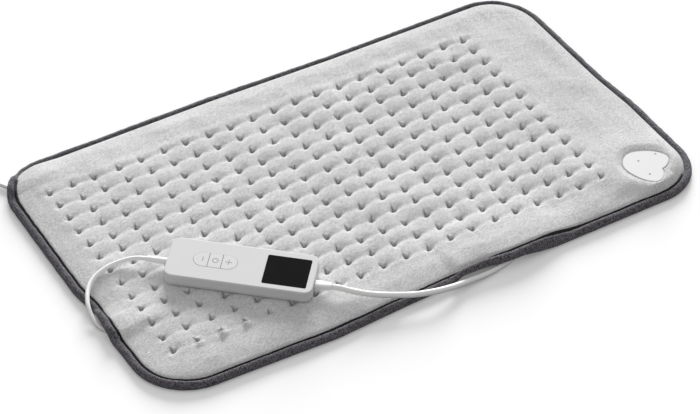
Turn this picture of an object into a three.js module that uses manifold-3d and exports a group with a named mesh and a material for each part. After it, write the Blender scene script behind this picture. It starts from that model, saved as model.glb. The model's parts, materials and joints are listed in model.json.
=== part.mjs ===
// Heating pad with a wired hand controller, lying flat. Millimetres, +Z up.
// The origin is the middle of the pad's footprint, on the surface that it lies on.
// +X runs along the pad's long side, towards the corner that holds the connector.

import * as THREE from 'three';
import { mergeVertices } from 'three/addons/utils/BufferGeometryUtils.js';
import Module from 'manifold-3d';

const wasm = await Module();
wasm.setup();

// Shared clearances
const SEAT_GAP = 0.3;      // between pieces that touch
const OVERRUN = 1.5;       // how far a cutting shape runs past what it cuts

// Pad outline
const PAD_LENGTH = 610;
const PAD_WIDTH = 351;
const RADIUS_LEFT_BACK = 53;
const RADIUS_LEFT_FRONT = 60;
const RADIUS_RIGHT_FRONT = 55;
const RADIUS_RIGHT_BACK = 62;
const CORNER_STEPS = 3;

// Places of the outline's extra points, as shares of the side that they lie on
const BACK_SIDE_SHARES = [0.12, -0.1];
const LEFT_SIDE_SHARES = [-0.02, -0.094, -0.14, -0.2];
const FRONT_SIDE_SHARES = [-0.33, -0.2, -0.08, 0.023, 0.069, 0.108];
const RIGHT_SIDE_SHARES = [-0.12, 0.02];

// No sewn edge is straight, and a lead that passes over and under it tucks it in. The edge lies
// inside the plain rounded rectangle by these shares of its deepest tuck: at the extra points of
// the four sides, and at both ends of each corner's arc.
const EDGE_TUCK = 6.8;
const BACK_TUCK_SHARES = [0.59, 0.07];
const LEFT_TUCK_SHARES = [0, 0.66, 0.35, 0.04];
const FRONT_TUCK_SHARES = [0.44, 0, 0.6, 1, 0.81, 0.22];
const RIGHT_TUCK_SHARES = [0.04, 0.74];
const CORNER_TUCK_SHARES = [[0.91, 0.51], [0.22, 0.37], [0.15, 0.66], [0.37, 0.09]];

// Rings of the covers, measured in from the outline
const RIM_INSET = 1.5;
const BASE_INSET = 10;
const RIDGE_INSET = 25;
const SHOULDER_INSET = 50;
const CORE_INSET = 66;
const SOFT_CORNER_RADIUS = 12;
const SHOULDER_CORNER_RADIUS = 50;   // at the connector's corner, which needs room for the socket
const CORE_CORNER_RADIUS = 60;

// Layers of the pad, from the bottom up
const BOTTOM_COVER = 1.2;
const RIM_RISE = 2.5;          // the bottom cover's rim climbs into the binding
const FLEECE = 1.2;
const CARRIER = 0.6;
const WIRE_DIAMETER = 1.3;
const PINCHED = 1.3;           // thickness of the top cover under a tuft
const PADDED = 2.4;            // its least thickness elsewhere
const LAYER_GAP = 0.4;         // between the covers where nothing lies between them
const RIM_TOP_COVER = 0.9;     // the top cover's thickness at its rim
const TUFT_HEIGHT = 6.8;
const CROWN_HEIGHT = 11.4;
const ROW_CREST_HEIGHT = 9.6;    // between two tufts of one row
const COLUMN_CREST_HEIGHT = 10.6; // between two tufts of one column
const MARGIN_HEIGHT = 9.8;
const SHOULDER_HEIGHT = 3.5;   // of the top cover's underside at the shoulder ring

// Tufts
const TUFT_COLUMNS = 20;
const TUFT_ROWS = 13;
const TUFT_MARGIN_LEFT = 40;     // from the outline to the first column
const TUFT_MARGIN_RIGHT = 99.94; // the smooth field that holds the connector's plate
const TUFT_MARGIN_BACK = 53.5;
const TUFT_MARGIN_FRONT = 55.46;
const QUILT_STEPS = 2;         // mesh steps from one tuft to the next

// Edge binding
const BINDING_HEIGHT = 7.6;
const BINDING_WIDTH = 5.2;
const BINDING_WALL = 0.9;
const BINDING_ROUND = 1.6;
const BINDING_SHOULDER = 0.35;

// Heating layer inside the pad
const HEATER_MARGIN_RIGHT = 80;   // from the outline to the carrier
const HEATER_MARGIN_LEFT = 73;
const HEATER_MARGIN_FRONT = 91.5;
const HEATER_MARGIN_BACK = 71.5;
const HEATER_CORNER = 8;
const WIRE_RUNS = 10;
const WIRE_MARGIN = 12;
const WIRE_SIDES = 6;
const CUTOUT_DIAMETER = 2.2;
const CUTOUT_LENGTH = 8;
const CUTOUT_ROW_SHARE = 0.5;
const SENSOR_SIZE = [6, 3, 1.1];
const SENSOR_ALONG_SHARE = 0.6;   // of the carrier's length, from its left end

// Connector under the corner
const SOCKET_FROM_RIGHT = 47.9;   // from the outline to the socket's middle
const SOCKET_FROM_FRONT = 42.6;
const SOCKET_SIZE = [33, 34, 7];
const SOCKET_CORNER = 5;
const SOCKET_STEPS = 3;
const PLUG_AXIS_OFFSET = 4.6;      // the plug enters in front of the socket's middle
const PLUG_THICKNESS = 7;
const PLUG_WIDTH = 19;
const PLUG_LENGTH = 26;
const PLUG_CORNER = 3;
const PLUG_GRIP_COUNT = 4;
const PLUG_GRIP_DEPTH = 0.5;
const PLUG_GRIP_WIDTH = 1.2;
const PLUG_GRIP_PITCH = 2.6;
const TONGUE_LENGTH = 11;
const TONGUE_WIDTH = 12;
const TONGUE_THICKNESS = 4.2;
const SLEEVE_LENGTH = 15;
const CONTACT_DIAMETER = 1.5;
const CONTACT_PITCH = 6;
const CONTACT_LENGTH = 11;
const CONTACT_HOLD = 4;
const RIVET_DIAMETER = 1.6;
const RIVET_DEPTH = 3;
const RIVET_SHARES = [[0.668, 0.5], [-0.268, 0.478], [-0.346, -0.478]];  // of the plate's half width
const RIVET_SIDES = 10;

// Cover plate over the connector, a rounded heart outline that points to the pad's middle
const PLATE_THICKNESS = 2;
const PLATE_PROUD = 0.8;
const PLATE_EDGE = 0.5;
const PLATE_OFFSET = [-2.1, -0.6];  // from the socket's middle
const PLATE_TURN_DEG = -49;
const PLATE_TIP = 26.5;          // from the centre to the rounded tip
const PLATE_HALF_WIDTH = 22;
const PLATE_LOBE_REACH = 16;   // from the centre to the far side of the lobes
const PLATE_NOTCH_REACH = 12.2;  // and to the bottom of the notch between them
const HEART_SIDE_SHARE = 0.62;
const HEART_BULGE_SHARE = 0.8;
const HEART_WIDE_SHARE = 0.22;
const HEART_LOBE_SHARE = 0.52;
const HEART_TIP_SHARE = 0.72;
const HEART_NOTCH_SHARE = 0.3;
const PLATE_STEPS = 7;
const FLANGE_STEPS = 2;
const FLANGE_THICKNESS = 1.2;
const FLANGE_INSET = 2.6;        // the housing's flange lies this far inside the plate's outline

// Controller, in its own frame: +X from the keys to the display, origin under its middle
const CASE_LENGTH = 138.5;
const CASE_WIDTH = 52;
const CASE_HEIGHT = 13;
const CASE_CORNER = 8;
const CASE_WALL = 1.6;
const CASE_FROM_LEFT = 142;      // from the pad's outline to the case's middle
const CASE_FROM_FRONT = 106.9;
const CASE_TURN_DEG = -41;
const CASE_TOP_EDGE = 1.1;
const CASE_BOTTOM_EDGE = 2.6;
const CASE_SPLIT = 3.2;          // height of the line between the two shells
const CASE_STEPS = 5;
const LIP_HEIGHT = 1;
const LIP_WALL = 1;
const EDGE_ROUND_SHARE = 0.3;

// Display
const DISPLAY_LENGTH = 41.5;
const DISPLAY_SIDE_MARGIN = 6.75;   // to the case's long sides
const DISPLAY_END_MARGIN = 6.2;
const DISPLAY_ASIDE = 0.7;          // it sits this much off the case's middle
const DISPLAY_CORNER = 1.5;
const WINDOW_THICKNESS = 1.6;
const FRAME_MARGIN = 1.6;
const FRAME_THICKNESS = 1.1;
const FRAME_BORDER = 4;
const MODULE_MARGINS = [2.95, 14.55, 3.25];   // inside the window: key side, far side, long sides
const MODULE_STEP = 0.8;

// Keys
const KEYS_LENGTH = 41.7;
const KEYS_WIDTH = 19;
const KEYS_FROM_END = 44.45;     // from the case's end to the keys' middle
const KEYS_ASIDE = 0.9;
const KEY_SPLIT_SHARES = [-0.156, 0.146];   // of the keys' length, from their middle
const KEY_GAP = 0.5;
const KEY_PROUD = 0.15;
const KEY_THICKNESS = 2.1;
const KEY_STEM_RADIUS = 1.8;
const KEY_FLANGE = 1.4;
const KEY_FLANGE_LENGTH = 7;
const KEY_STEPS = 6;
const KEY_NAMES = ['minus', 'power', 'plus'];
const SWITCH_SIZE = [6, 6, 2.4];
const PLUNGER_RADIUS = 1.5;
const PLUNGER_HEIGHT = 1.6;
const PLUNGER_WELL = 1.6;
const PLUNGER_PROUD = 0.7;

// Circuit board and what stands on it
const BOARD_END_ROOM = 13.25;    // to the case's ends, for the cores
const BOARD_SIDE_ROOM = 5;
const BOARD_THICKNESS = 1.4;
const BOARD_HEIGHT = 3.5;
const STANDOFF_RADIUS = 1.6;
const STANDOFF_SHARES = [0.42, 0.38];    // of the board's length and width
const TRIAC_SIZE = [10, 6.5, 4.2];
const TRIAC_INSET = [15.55, 7];            // from the display's edge, and from the board's side
const TRIAC_TAB = [5, 6.5, 1.3];
const FILM_CAPACITOR_SIZE = [13, 6, 5.2];
const FILM_CAPACITOR_INSET = [17.55, 8];   // in the same way
const SMOOTHING_CAPACITOR = [2.5, 9];      // radius and length
const FUSE_SIZE = [1.7, 10];
const KEY_END_INSET = [10, 8];             // of both, from the board's end and its sides
const CHIP_SIZE = [7, 9, 1.4];
const CHIP_INSET = 1.5;                    // from the display's edge
const TERMINAL_SIZE = [6, 10, 4];
const TERMINAL_INSET = 3.1;                // from the board's end
const LEAD_RADIUS = 0.6;
const LEAD_SPREAD = 1.6;
const LEAD_CLOSE_SHARE = 0.6;
const LEAD_SIDES = 6;

// Case screws
const SCREW_END_INSET = [7.65, 7.5];       // at the key end, from the case's end and sides
const SCREW_DISPLAY_INSET = [5.05, 5.8];   // from the display's edge and the case's sides
const SCREW_RADIUS = 0.9;
const SCREW_LENGTH = 7;
const SCREW_HEAD_RADIUS = 2;
const SCREW_HEAD_HEIGHT = 1.2;
const SCREW_SOCKET_RADIUS = 0.9;
const SCREW_SOCKET_DEPTH = 0.6;
const POST_RADIUS = 2.7;
const POST_FOOT = 3;             // height of the posts in the bottom shell
const HEAD_RECESS = 1.6;

// Strain reliefs on the controller
const RELIEF_HEIGHT = 6.5;
const MAINS_RELIEF_LENGTH = 20;
const MAINS_RELIEF_RADIUS = 3.25;
const MAINS_RELIEF_TIP = 2.5;
const MAINS_RELIEF_OFFSET = -2;
const PAD_RELIEF_LENGTH = 16.6;
const PAD_RELIEF_WIDTH = 8.7;
const PAD_RELIEF_THICKNESS = 6.4;
const PAD_RELIEF_TIP_WIDTH = 6.6;
const PAD_RELIEF_OFFSET = -6;
const RELIEF_NECK = 2.3;
const RELIEF_FLANGE = 3.1;
const RELIEF_FLANGE_LENGTH = 2;
const RELIEF_TIP_LENGTH = 1.5;
const PAD_RELIEF_ROUND_SHARE = 0.35;
const RELIEF_SIDES = 14;

// Pad lead, from the controller to the connector: points down its middle
const PAD_LEAD_DIAMETER = 5.9;
const PAD_LEAD_SIDES = 8;
const PAD_LEAD_STEPS = 30;
const PAD_LEAD_POINTS = [
  [-97.6, -133.3, 18.2], [-89.6, -141.3, 17.2], [-75.6, -152.2, 15.4], [-54.9, -163.4, 13.6],
  [-38.5, -170.6, 12.5], [-22, -175.3, 11.9], [-7.9, -176.3, 9.8], [6.7, -175.6, 7.2],
  [21.7, -174.2, 5.2], [36, -173.4, 3.9], [49, -171.9, 3.3], [62, -169.3, 3.1],
  [85, -164.2, 3.1], [110, -157.8, 3.1], [138, -150.8, 3.1], [162, -145, 3.2],
  [180, -139.6, 3.6], [190, -137.7, 3.8],
];
const PAD_LEAD_UNDER = 9;        // from this point on it lies beside or under the pad

// Mains lead, from the controller over the left edge and under the pad
const MAINS_LEAD_DIAMETER = 4.2;
const MAINS_LEAD_SIDES = 8;
const MAINS_LEAD_STEPS = 50;
const MAINS_LEAD_POINTS = [
  [-235.5, -8.3, 18.1], [-241.6, -4.2, 17.3], [-255.3, -0.1, 15.3], [-271.2, -0.6, 13.7],
  [-284.6, -5.6, 12.1], [-294, -14.6, 11.4], [-300.6, -25.4, 11], [-304.2, -34.2, 9.8],
  [-305.6, -42, 7], [-305.5, -49.5, 4.4], [-303, -57.5, 2.6], [-298, -65.5, 2.4],
  [-289.5, -71.5, 2.4], [-279, -73, 2.4], [-269.5, -68, 2.4], [-263.5, -58, 2.4],
  [-262, -45, 2.4], [-265, -30, 2.4], [-271, -8, 2.4], [-276.5, 20, 2.4],
  [-279, 50, 2.4], [-279, 85, 2.4], [-279.8, 115, 2.4], [-283.5, 138, 2.4],
  [-292, 157, 2.6], [-303, 173, 3], [-314, 188, 3.3],
];
const MAINS_LEAD_UNDER = 10;

// The stored length of the mains lead is wound into a coil beyond the pad's left back corner
const COIL_CENTRE = [-348.9, 185.1];
const COIL_MIDDLE_RADIUS = 25.2;
const COIL_LAYERS = 4;
const COIL_TURNS = 2;            // turns in each layer, before the half turn that climbs
const COIL_LAST_TURNS = 1.5;
const COIL_GAP = 0.5;            // between neighbouring turns
const COIL_START_DEG = 36.87;
const COIL_LOOP_STEPS = 24;
const COIL_SIDES = 6;
const TIE_WALL = 1;
const TIE_WIDTH = 9;
const TIE_ANGLE_DEG = 130;
const TIE_CORNER = 2.5;
const TAIL_STEPS = 14;
const TAIL_POINTS = [
  [-333.4, 211.6, 17.4], [-337.4, 220, 15.8], [-339.4, 229, 12.4], [-339, 238, 9.2],
  [-336.2, 245, 7.3],
];

// Mains plug, two round pins
const MAINS_PLUG_START = [-332, 250.8];
const MAINS_PLUG_TURN_DEG = 58.4;
const MAINS_PLUG_WIDTH = 35.3;
const MAINS_PLUG_THICKNESS = 13.7;
const MAINS_PLUG_LENGTH = 34;
const MAINS_PLUG_NECK_WIDTH = 15;
const MAINS_PLUG_NECK_THICKNESS = 9;
const MAINS_PLUG_CORNER = 4;
const MAINS_SLEEVE_LENGTH = 22;
const MAINS_SLEEVE_RADIUS = 3.4;
const PLUG_PIN_RADIUS = 2;
const PLUG_PIN_LENGTH = 19;
const PLUG_PIN_HOLD = 6;
const PLUG_PIN_PITCH = 18.6;
const PLUG_PIN_SIDES = 12;
const PLUG_TAPER_SHARES = [0.25, 0.6];
const PLUG_NECK_SWELL_SHARE = 1.4;

// Steps of the heating wire's turns, and of the samples that drape the covers over the leads
const WIRE_TURN_STEPS = 5;
const LEAD_SAMPLES_PER_POINT = 8;
const SAMPLE_SIDE_SHARES = [-0.95, -0.6, 0, 0.6, 0.95];
const BLOCK_SAMPLES = 8;

// Values worked out from the sizes above
const FLEECE_BOTTOM = BOTTOM_COVER + SEAT_GAP;
const CARRIER_BOTTOM = FLEECE_BOTTOM + FLEECE + SEAT_GAP;
const WIRE_HEIGHT = CARRIER_BOTTOM + CARRIER + SEAT_GAP + WIRE_DIAMETER / 2;
const CORE_HEIGHT = WIRE_HEIGHT + WIRE_DIAMETER / 2 + SEAT_GAP;
const PAD_LEAD_RADIUS = PAD_LEAD_DIAMETER / 2;
const MAINS_LEAD_RADIUS = MAINS_LEAD_DIAMETER / 2;
const PAD_RIGHT = PAD_LENGTH / 2;
const PAD_BACK = PAD_WIDTH / 2;
const TUFT_PITCH_X = (PAD_LENGTH - TUFT_MARGIN_LEFT - TUFT_MARGIN_RIGHT) / (TUFT_COLUMNS - 1);
const TUFT_PITCH_Y = (PAD_WIDTH - TUFT_MARGIN_BACK - TUFT_MARGIN_FRONT) / (TUFT_ROWS - 1);
const HEATER_LENGTH = PAD_LENGTH - HEATER_MARGIN_LEFT - HEATER_MARGIN_RIGHT;
const HEATER_WIDTH = PAD_WIDTH - HEATER_MARGIN_FRONT - HEATER_MARGIN_BACK;
const HEATER_LEFT = HEATER_MARGIN_LEFT - PAD_RIGHT;
const HEATER_FRONT = HEATER_MARGIN_FRONT - PAD_BACK;
const SOCKET_CENTRE = [PAD_RIGHT - SOCKET_FROM_RIGHT, SOCKET_FROM_FRONT - PAD_BACK];
const PLUG_AXIS_Y = SOCKET_CENTRE[1] - PLUG_AXIS_OFFSET;
const PLATE_CENTRE = SOCKET_CENTRE.map((place, i) => place + PLATE_OFFSET[i]);
const RIVET_PLACES = RIVET_SHARES.map((shares) => shares.map(
  (share, i) => PLATE_CENTRE[i] + share * PLATE_HALF_WIDTH));
const CASE_PLACE = [CASE_FROM_LEFT - PAD_RIGHT, CASE_FROM_FRONT - PAD_BACK];
const CASE_BASE = CROWN_HEIGHT + SEAT_GAP;
const CASE_TURN = THREE.MathUtils.degToRad(CASE_TURN_DEG);
const CASE_END = CASE_LENGTH / 2;
const CASE_SIDE = CASE_WIDTH / 2;
const DISPLAY_WIDTH = CASE_WIDTH - DISPLAY_SIDE_MARGIN * 2;
const DISPLAY_LEFT = CASE_END - DISPLAY_END_MARGIN - DISPLAY_LENGTH;
const DISPLAY_CENTRE = [DISPLAY_LEFT + DISPLAY_LENGTH / 2, -DISPLAY_ASIDE];
const MODULE_SIZE = [
  DISPLAY_LENGTH - MODULE_MARGINS[0] - MODULE_MARGINS[1], DISPLAY_WIDTH - MODULE_MARGINS[2] * 2];
const MODULE_CENTRE = [DISPLAY_LEFT + MODULE_MARGINS[0] + MODULE_SIZE[0] / 2, -DISPLAY_ASIDE];
const KEYS_CENTRE = [KEYS_FROM_END - CASE_END, KEYS_ASIDE];
const BOARD_LENGTH = CASE_LENGTH - BOARD_END_ROOM * 2;
const BOARD_WIDTH = CASE_WIDTH - BOARD_SIDE_ROOM * 2;
const BOARD_END = BOARD_LENGTH / 2;
const BOARD_SIDE = BOARD_WIDTH / 2;
const TRIAC_PLACE = [DISPLAY_LEFT - TRIAC_INSET[0], BOARD_SIDE - TRIAC_INSET[1]];
const FILM_CAPACITOR_PLACE = [
  DISPLAY_LEFT - FILM_CAPACITOR_INSET[0], FILM_CAPACITOR_INSET[1] - BOARD_SIDE];
const FUSE_PLACE = [KEY_END_INSET[0] - BOARD_END, BOARD_SIDE - KEY_END_INSET[1]];
const SMOOTHING_CAPACITOR_PLACE = [FUSE_PLACE[0], -FUSE_PLACE[1]];
const CHIP_PLACE = [DISPLAY_LEFT - CHIP_INSET, -DISPLAY_ASIDE];
const SCREW_PLACES = [[1, 1], [-1, 1], [-1, -1], [1, -1]].map(([end, side]) => (end > 0
  ? [DISPLAY_LEFT - SCREW_DISPLAY_INSET[0], side * (CASE_SIDE - SCREW_DISPLAY_INSET[1])]
  : [SCREW_END_INSET[0] - CASE_END, side * (CASE_SIDE - SCREW_END_INSET[1])]));

// Materials
const material = (color, roughness, metalness = 0) =>
  new THREE.MeshStandardMaterial({ color, roughness, metalness });
const plush = () => material('#d8d8d8', 0.95);
const knitTape = () => material('#4a484c', 0.9);
const whitePlastic = () => material('#e9e9e9', 0.45);
const blackGloss = () => material('#1c1c1c', 0.08);
const feltGrey = () => material('#b9b6ae', 0.95);
const whiteVinyl = () => material('#ececea', 0.4);
const wireRed = () => material('#a8483c', 0.5);
const boardGreen = () => material('#2f6a45', 0.5);
const partBlack = () => material('#242426', 0.5);
const brass = () => material('#c9a552', 0.3, 1);
const steel = () => material('#b8babd', 0.3, 1);
const yellowFilm = () => material('#c8a23a', 0.5);

const part = new THREE.Group();

function place(name, geometry, finish, parent = part) {
  const mesh = new THREE.Mesh(geometry, finish);
  mesh.name = name;
  parent.add(mesh);
  return mesh;
}

// Booleans

function merged(geometry) {
  const bare = geometry.clone();
  bare.deleteAttribute('normal');
  bare.deleteAttribute('uv');
  const joined = mergeVertices(bare);
  const kept = [];
  const faces = joined.index.array;
  for (let i = 0; i < faces.length; i += 3) {
    const [a, b, c] = faces.slice(i, i + 3);
    if (a !== b && b !== c && c !== a) {
      kept.push(a, b, c);
    }
  }
  joined.setIndex(kept);
  return joined;
}

function solidOf(geometry) {
  const bare = merged(geometry);
  return new wasm.Manifold(new wasm.Mesh({
    numProp: 3,
    vertProperties: new Float32Array(bare.attributes.position.array),
    triVerts: new Uint32Array(bare.index.array),
  }));
}

function geometryOf(solid) {
  const mesh = solid.getMesh();
  const geometry = new THREE.BufferGeometry();
  geometry.setAttribute('position', new THREE.BufferAttribute(mesh.vertProperties, 3));
  geometry.setIndex(new THREE.BufferAttribute(mesh.triVerts, 1));
  return geometry;
}

function carve(base, added, removed) {
  let solid = solidOf(base);
  for (const piece of added) {
    solid = solid.add(solidOf(piece));
  }
  for (const piece of removed) {
    solid = solid.subtract(solidOf(piece));
  }
  return geometryOf(solid);
}

// Closed loops of points

// A rounded rectangle as a loop, anticlockwise from the right side's front end.
// radii: right back, left back, left front, right front. sides: extra places on
// the back, left, front and right sides.
function roundedLoop(halfLength, halfWidth, radii, steps, sides = [[], [], [], []]) {
  const corners = [[1, 1, 0], [-1, 1, 1], [-1, -1, 2], [1, -1, 3]];
  const points = [];
  corners.forEach(([sx, sy, turn], index) => {
    const radius = radii[index];
    const cx = sx * (halfLength - radius);
    const cy = sy * (halfWidth - radius);
    for (let i = 0; i <= steps; i += 1) {
      const angle = (turn + i / steps) * Math.PI / 2;
      points.push(new THREE.Vector2(cx + radius * Math.cos(angle), cy + radius * Math.sin(angle)));
    }
    for (const at of sides[index]) {
      const side = [[at, halfWidth], [-halfLength, at], [at, -halfWidth], [halfLength, at]][index];
      points.push(new THREE.Vector2(side[0], side[1]));
    }
  });
  return points;
}

const level = (loop, z) => loop.map((p) => new THREE.Vector3(p.x, p.y, z));

// Skins a stack of loops that have the same number of points. Without close, the first
// and last loops get caps; the stack runs so that its faces point outwards.
function skin(loops, close = false) {
  const count = loops[0].length;
  const position = loops.flatMap((loop) => loop.flatMap((p) => [p.x, p.y, p.z]));
  const index = [];
  const rows = close ? loops.length : loops.length - 1;
  for (let r = 0; r < rows; r += 1) {
    const low = r * count;
    const high = ((r + 1) % loops.length) * count;
    for (let i = 0; i < count; i += 1) {
      const j = (i + 1) % count;
      index.push(low + i, low + j, high + j, low + i, high + j, high + i);
    }
  }
  if (!close) {
    const flat = (loop) => loop.map((p) => new THREE.Vector2(p.x, p.y));
    const last = (loops.length - 1) * count;
    for (const [a, b, c] of THREE.ShapeUtils.triangulateShape(flat(loops[0]), [])) {
      index.push(c, b, a);
    }
    for (const [a, b, c] of THREE.ShapeUtils.triangulateShape(flat(loops[loops.length - 1]), [])) {
      index.push(last + a, last + b, last + c);
    }
  }
  const geometry = new THREE.BufferGeometry();
  geometry.setAttribute('position', new THREE.Float32BufferAttribute(position, 3));
  geometry.setIndex(index);
  return geometry;
}

function plate(loop, bottom, top) {
  return skin([level(loop, bottom), level(loop, top)]);
}

function block(size, centre, bottom) {
  const geometry = new THREE.BoxGeometry(size[0], size[1], size[2]);
  geometry.translate(centre[0], centre[1], bottom + size[2] / 2);
  return geometry;
}

function rod(radius, bottom, top, centre = [0, 0], sides = 16) {
  const geometry = new THREE.CylinderGeometry(radius, radius, top - bottom, sides);
  geometry.rotateX(Math.PI / 2);
  geometry.translate(centre[0], centre[1], (top + bottom) / 2);
  return geometry;
}

// A round body along +X from its profile of [distance, radius] pairs.
function turned(profile, sides) {
  const geometry = new THREE.LatheGeometry(
    [[profile[0][0], 0], ...profile, [profile[profile.length - 1][0], 0]]
      .map(([along, radius]) => new THREE.Vector2(radius, along)),
    sides,
  );
  geometry.rotateZ(-Math.PI / 2);
  return geometry;
}

// A tube down the middle of a list of points.
function tube(points, radius, sides, steps) {
  const curve = new THREE.CatmullRomCurve3(points);
  const section = new THREE.Shape();
  section.absarc(0, 0, radius, 0, Math.PI * 2);
  section.curves = [];
  section.setFromPoints(Array.from({ length: sides }, (_, i) => {
    const angle = (i + 0.5) / sides * Math.PI * 2;
    return new THREE.Vector2(radius * Math.cos(angle), radius * Math.sin(angle));
  }));
  return new THREE.ExtrudeGeometry(section, { steps, extrudePath: curve });
}

const vectors = (points) => points.map((p) => new THREE.Vector3(p[0], p[1], p[2]));

// Pad outline and its rings

const CORNER_RADII = [RADIUS_RIGHT_BACK, RADIUS_LEFT_BACK, RADIUS_LEFT_FRONT, RADIUS_RIGHT_FRONT];

const SIDE_TUCK_SHARES = [BACK_TUCK_SHARES, LEFT_TUCK_SHARES, FRONT_TUCK_SHARES, RIGHT_TUCK_SHARES];

// How far, and which way, the edge's tucks move each point of a ring, in the loop's order
function tucks() {
  const inward = (turns, share) => new THREE.Vector2(-EDGE_TUCK * share, 0)
    .rotateAround(new THREE.Vector2(), turns * Math.PI / 2);
  return CORNER_TUCK_SHARES.flatMap(([start, end], turn) => [
    ...Array.from({ length: CORNER_STEPS + 1 }, (_, i) => inward(
      turn + i / CORNER_STEPS, THREE.MathUtils.lerp(start, end, i / CORNER_STEPS))),
    ...SIDE_TUCK_SHARES[turn].map((share) => inward(turn + 1, share)),
  ]);
}

// A ring of the pad: the plain rounded rectangle, with less of the edge's tucks further in
function padRing(inset, socketCorner = 0) {
  const radii = CORNER_RADII.map((radius) => Math.max(SOFT_CORNER_RADIUS, radius - inset));
  if (socketCorner > 0) {
    radii[3] = socketCorner;
  }
  const length = PAD_LENGTH - inset * 2;
  const width = PAD_WIDTH - inset * 2;
  const sides = [
    BACK_SIDE_SHARES.map((share) => share * length),
    LEFT_SIDE_SHARES.map((share) => share * width),
    FRONT_SIDE_SHARES.map((share) => share * length),
    RIGHT_SIDE_SHARES.map((share) => share * width),
  ];
  const near = 1 - Math.min(1, inset / SHOULDER_INSET);
  const moves = tucks();
  return roundedLoop(length / 2, width / 2, radii, CORNER_STEPS, sides)
    .map((p, i) => p.addScaledVector(moves[i], near));
}

const outlineRing = padRing(0);
const baseRing = padRing(BASE_INSET);
const ridgeRing = padRing(RIDGE_INSET);
const shoulderRing = padRing(SHOULDER_INSET, SHOULDER_CORNER_RADIUS);
const coreRing = padRing(CORE_INSET, CORE_CORNER_RADIUS);
const between = (a, b, share) => a.map((p, i) => p.clone().lerp(b[i], share));
const rimRing = between(outlineRing, baseRing, RIM_INSET / BASE_INSET);

// The triangles between the rings, shared by the undersides of both covers
const ringStack = [outlineRing, baseRing, ridgeRing, shoulderRing, coreRing];
const RING_POINTS = outlineRing.length;
const stackPoints = ringStack.flat();
const coreStart = (ringStack.length - 1) * RING_POINTS;
const coreTriangles = THREE.ShapeUtils.triangulateShape(coreRing, [])
  .map((face) => face.map((i) => i + coreStart));
const stackTriangles = [...coreTriangles];
for (let ring = 0; ring + 1 < ringStack.length; ring += 1) {
  for (let i = 0; i < RING_POINTS; i += 1) {
    const j = (i + 1) % RING_POINTS;
    const outer = ring * RING_POINTS;
    const inner = outer + RING_POINTS;
    stackTriangles.push([outer + i, outer + j, inner + j], [outer + i, inner + j, inner + i]);
  }
}

// The triangle that holds a place, with the weights of its corners
function locate(x, y) {
  for (const face of stackTriangles) {
    const [a, b, c] = face.map((i) => stackPoints[i]);
    const area = (b.x - a.x) * (c.y - a.y) - (c.x - a.x) * (b.y - a.y);
    const u = ((b.x - x) * (c.y - y) - (c.x - x) * (b.y - y)) / area;
    const v = ((c.x - x) * (a.y - y) - (a.x - x) * (c.y - y)) / area;
    if (u >= 0 && v >= 0 && u + v <= 1) {
      return { face, weights: [u, v, 1 - u - v] };
    }
  }
  return null;
}

// Raises a height field, held at the rings' points, by as little as clears every sample.
// Each sample holds its share of the rise, and gives it back when its neighbours do the work.
function drape(base, samples) {
  const heights = [...base];
  const found = samples.map(([x, y, z]) => ({ spot: locate(x, y), z, held: 0 }))
    .filter((sample) => sample.spot);
  const passes = 400;
  for (let pass = 0; pass < passes; pass += 1) {
    for (const sample of found) {
      const { face, weights } = sample.spot;
      const now = face.reduce((sum, i, k) => sum + heights[i] * weights[k], 0);
      const square = weights.reduce((sum, w) => sum + w * w, 0);
      const rise = Math.max((sample.z - now) / square, -sample.held);
      sample.held += rise;
      face.forEach((i, k) => {
        heights[i] += rise * weights[k];
      });
    }
  }
  return heights;
}

function fieldHeight(heights, x, y) {
  const spot = locate(x, y);
  return spot ? spot.face.reduce((sum, i, k) => sum + heights[i] * spot.weights[k], 0) : 0;
}

// The room that a lead needs above it, sampled along and across it
function leadSamples(points, radius) {
  const curve = new THREE.CatmullRomCurve3(vectors(points));
  const count = points.length * LEAD_SAMPLES_PER_POINT;
  const samples = [];
  for (let i = 0; i <= count; i += 1) {
    const p = curve.getPointAt(i / count);
    const t = curve.getTangentAt(i / count);
    for (const side of SAMPLE_SIDE_SHARES) {
      const lift = radius * Math.sqrt(1 - side * side);
      samples.push([p.x - t.y * radius * side, p.y + t.x * radius * side, p.z + lift + LAYER_GAP]);
    }
  }
  return samples;
}

function blockSamples(minX, maxX, minY, maxY, z) {
  const samples = [];
  for (let i = 0; i <= BLOCK_SAMPLES; i += 1) {
    for (let j = 0; j <= BLOCK_SAMPLES; j += 1) {
      samples.push([
        THREE.MathUtils.lerp(minX, maxX, i / BLOCK_SAMPLES),
        THREE.MathUtils.lerp(minY, maxY, j / BLOCK_SAMPLES),
        z,
      ]);
    }
  }
  return samples;
}

// Places of the connector's pieces along X
const SOCKET_LEFT = SOCKET_CENTRE[0] - SOCKET_SIZE[0] / 2;
const SOCKET_RIGHT = SOCKET_CENTRE[0] + SOCKET_SIZE[0] / 2;
const SOCKET_FRONT = SOCKET_CENTRE[1] - SOCKET_SIZE[1] / 2;
const SOCKET_BACK = SOCKET_CENTRE[1] + SOCKET_SIZE[1] / 2;
const SOCKET_TOP = SEAT_GAP + SOCKET_SIZE[2];
const PLUG_RIGHT = SOCKET_LEFT - SEAT_GAP;
const PLUG_LEFT = PLUG_RIGHT - PLUG_LENGTH;
const SLEEVE_LEFT = PLUG_LEFT - SEAT_GAP - SLEEVE_LENGTH;
const PLUG_MIDDLE = SEAT_GAP + PLUG_THICKNESS / 2;

// The route of a lead that leaves the controller, whose reliefs lie in the case's frame
function onPad(along, across, height) {
  const flat = new THREE.Vector2(along, across).rotateAround(new THREE.Vector2(), CASE_TURN);
  return [CASE_PLACE[0] + flat.x, CASE_PLACE[1] + flat.y, CASE_BASE + height];
}

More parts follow.
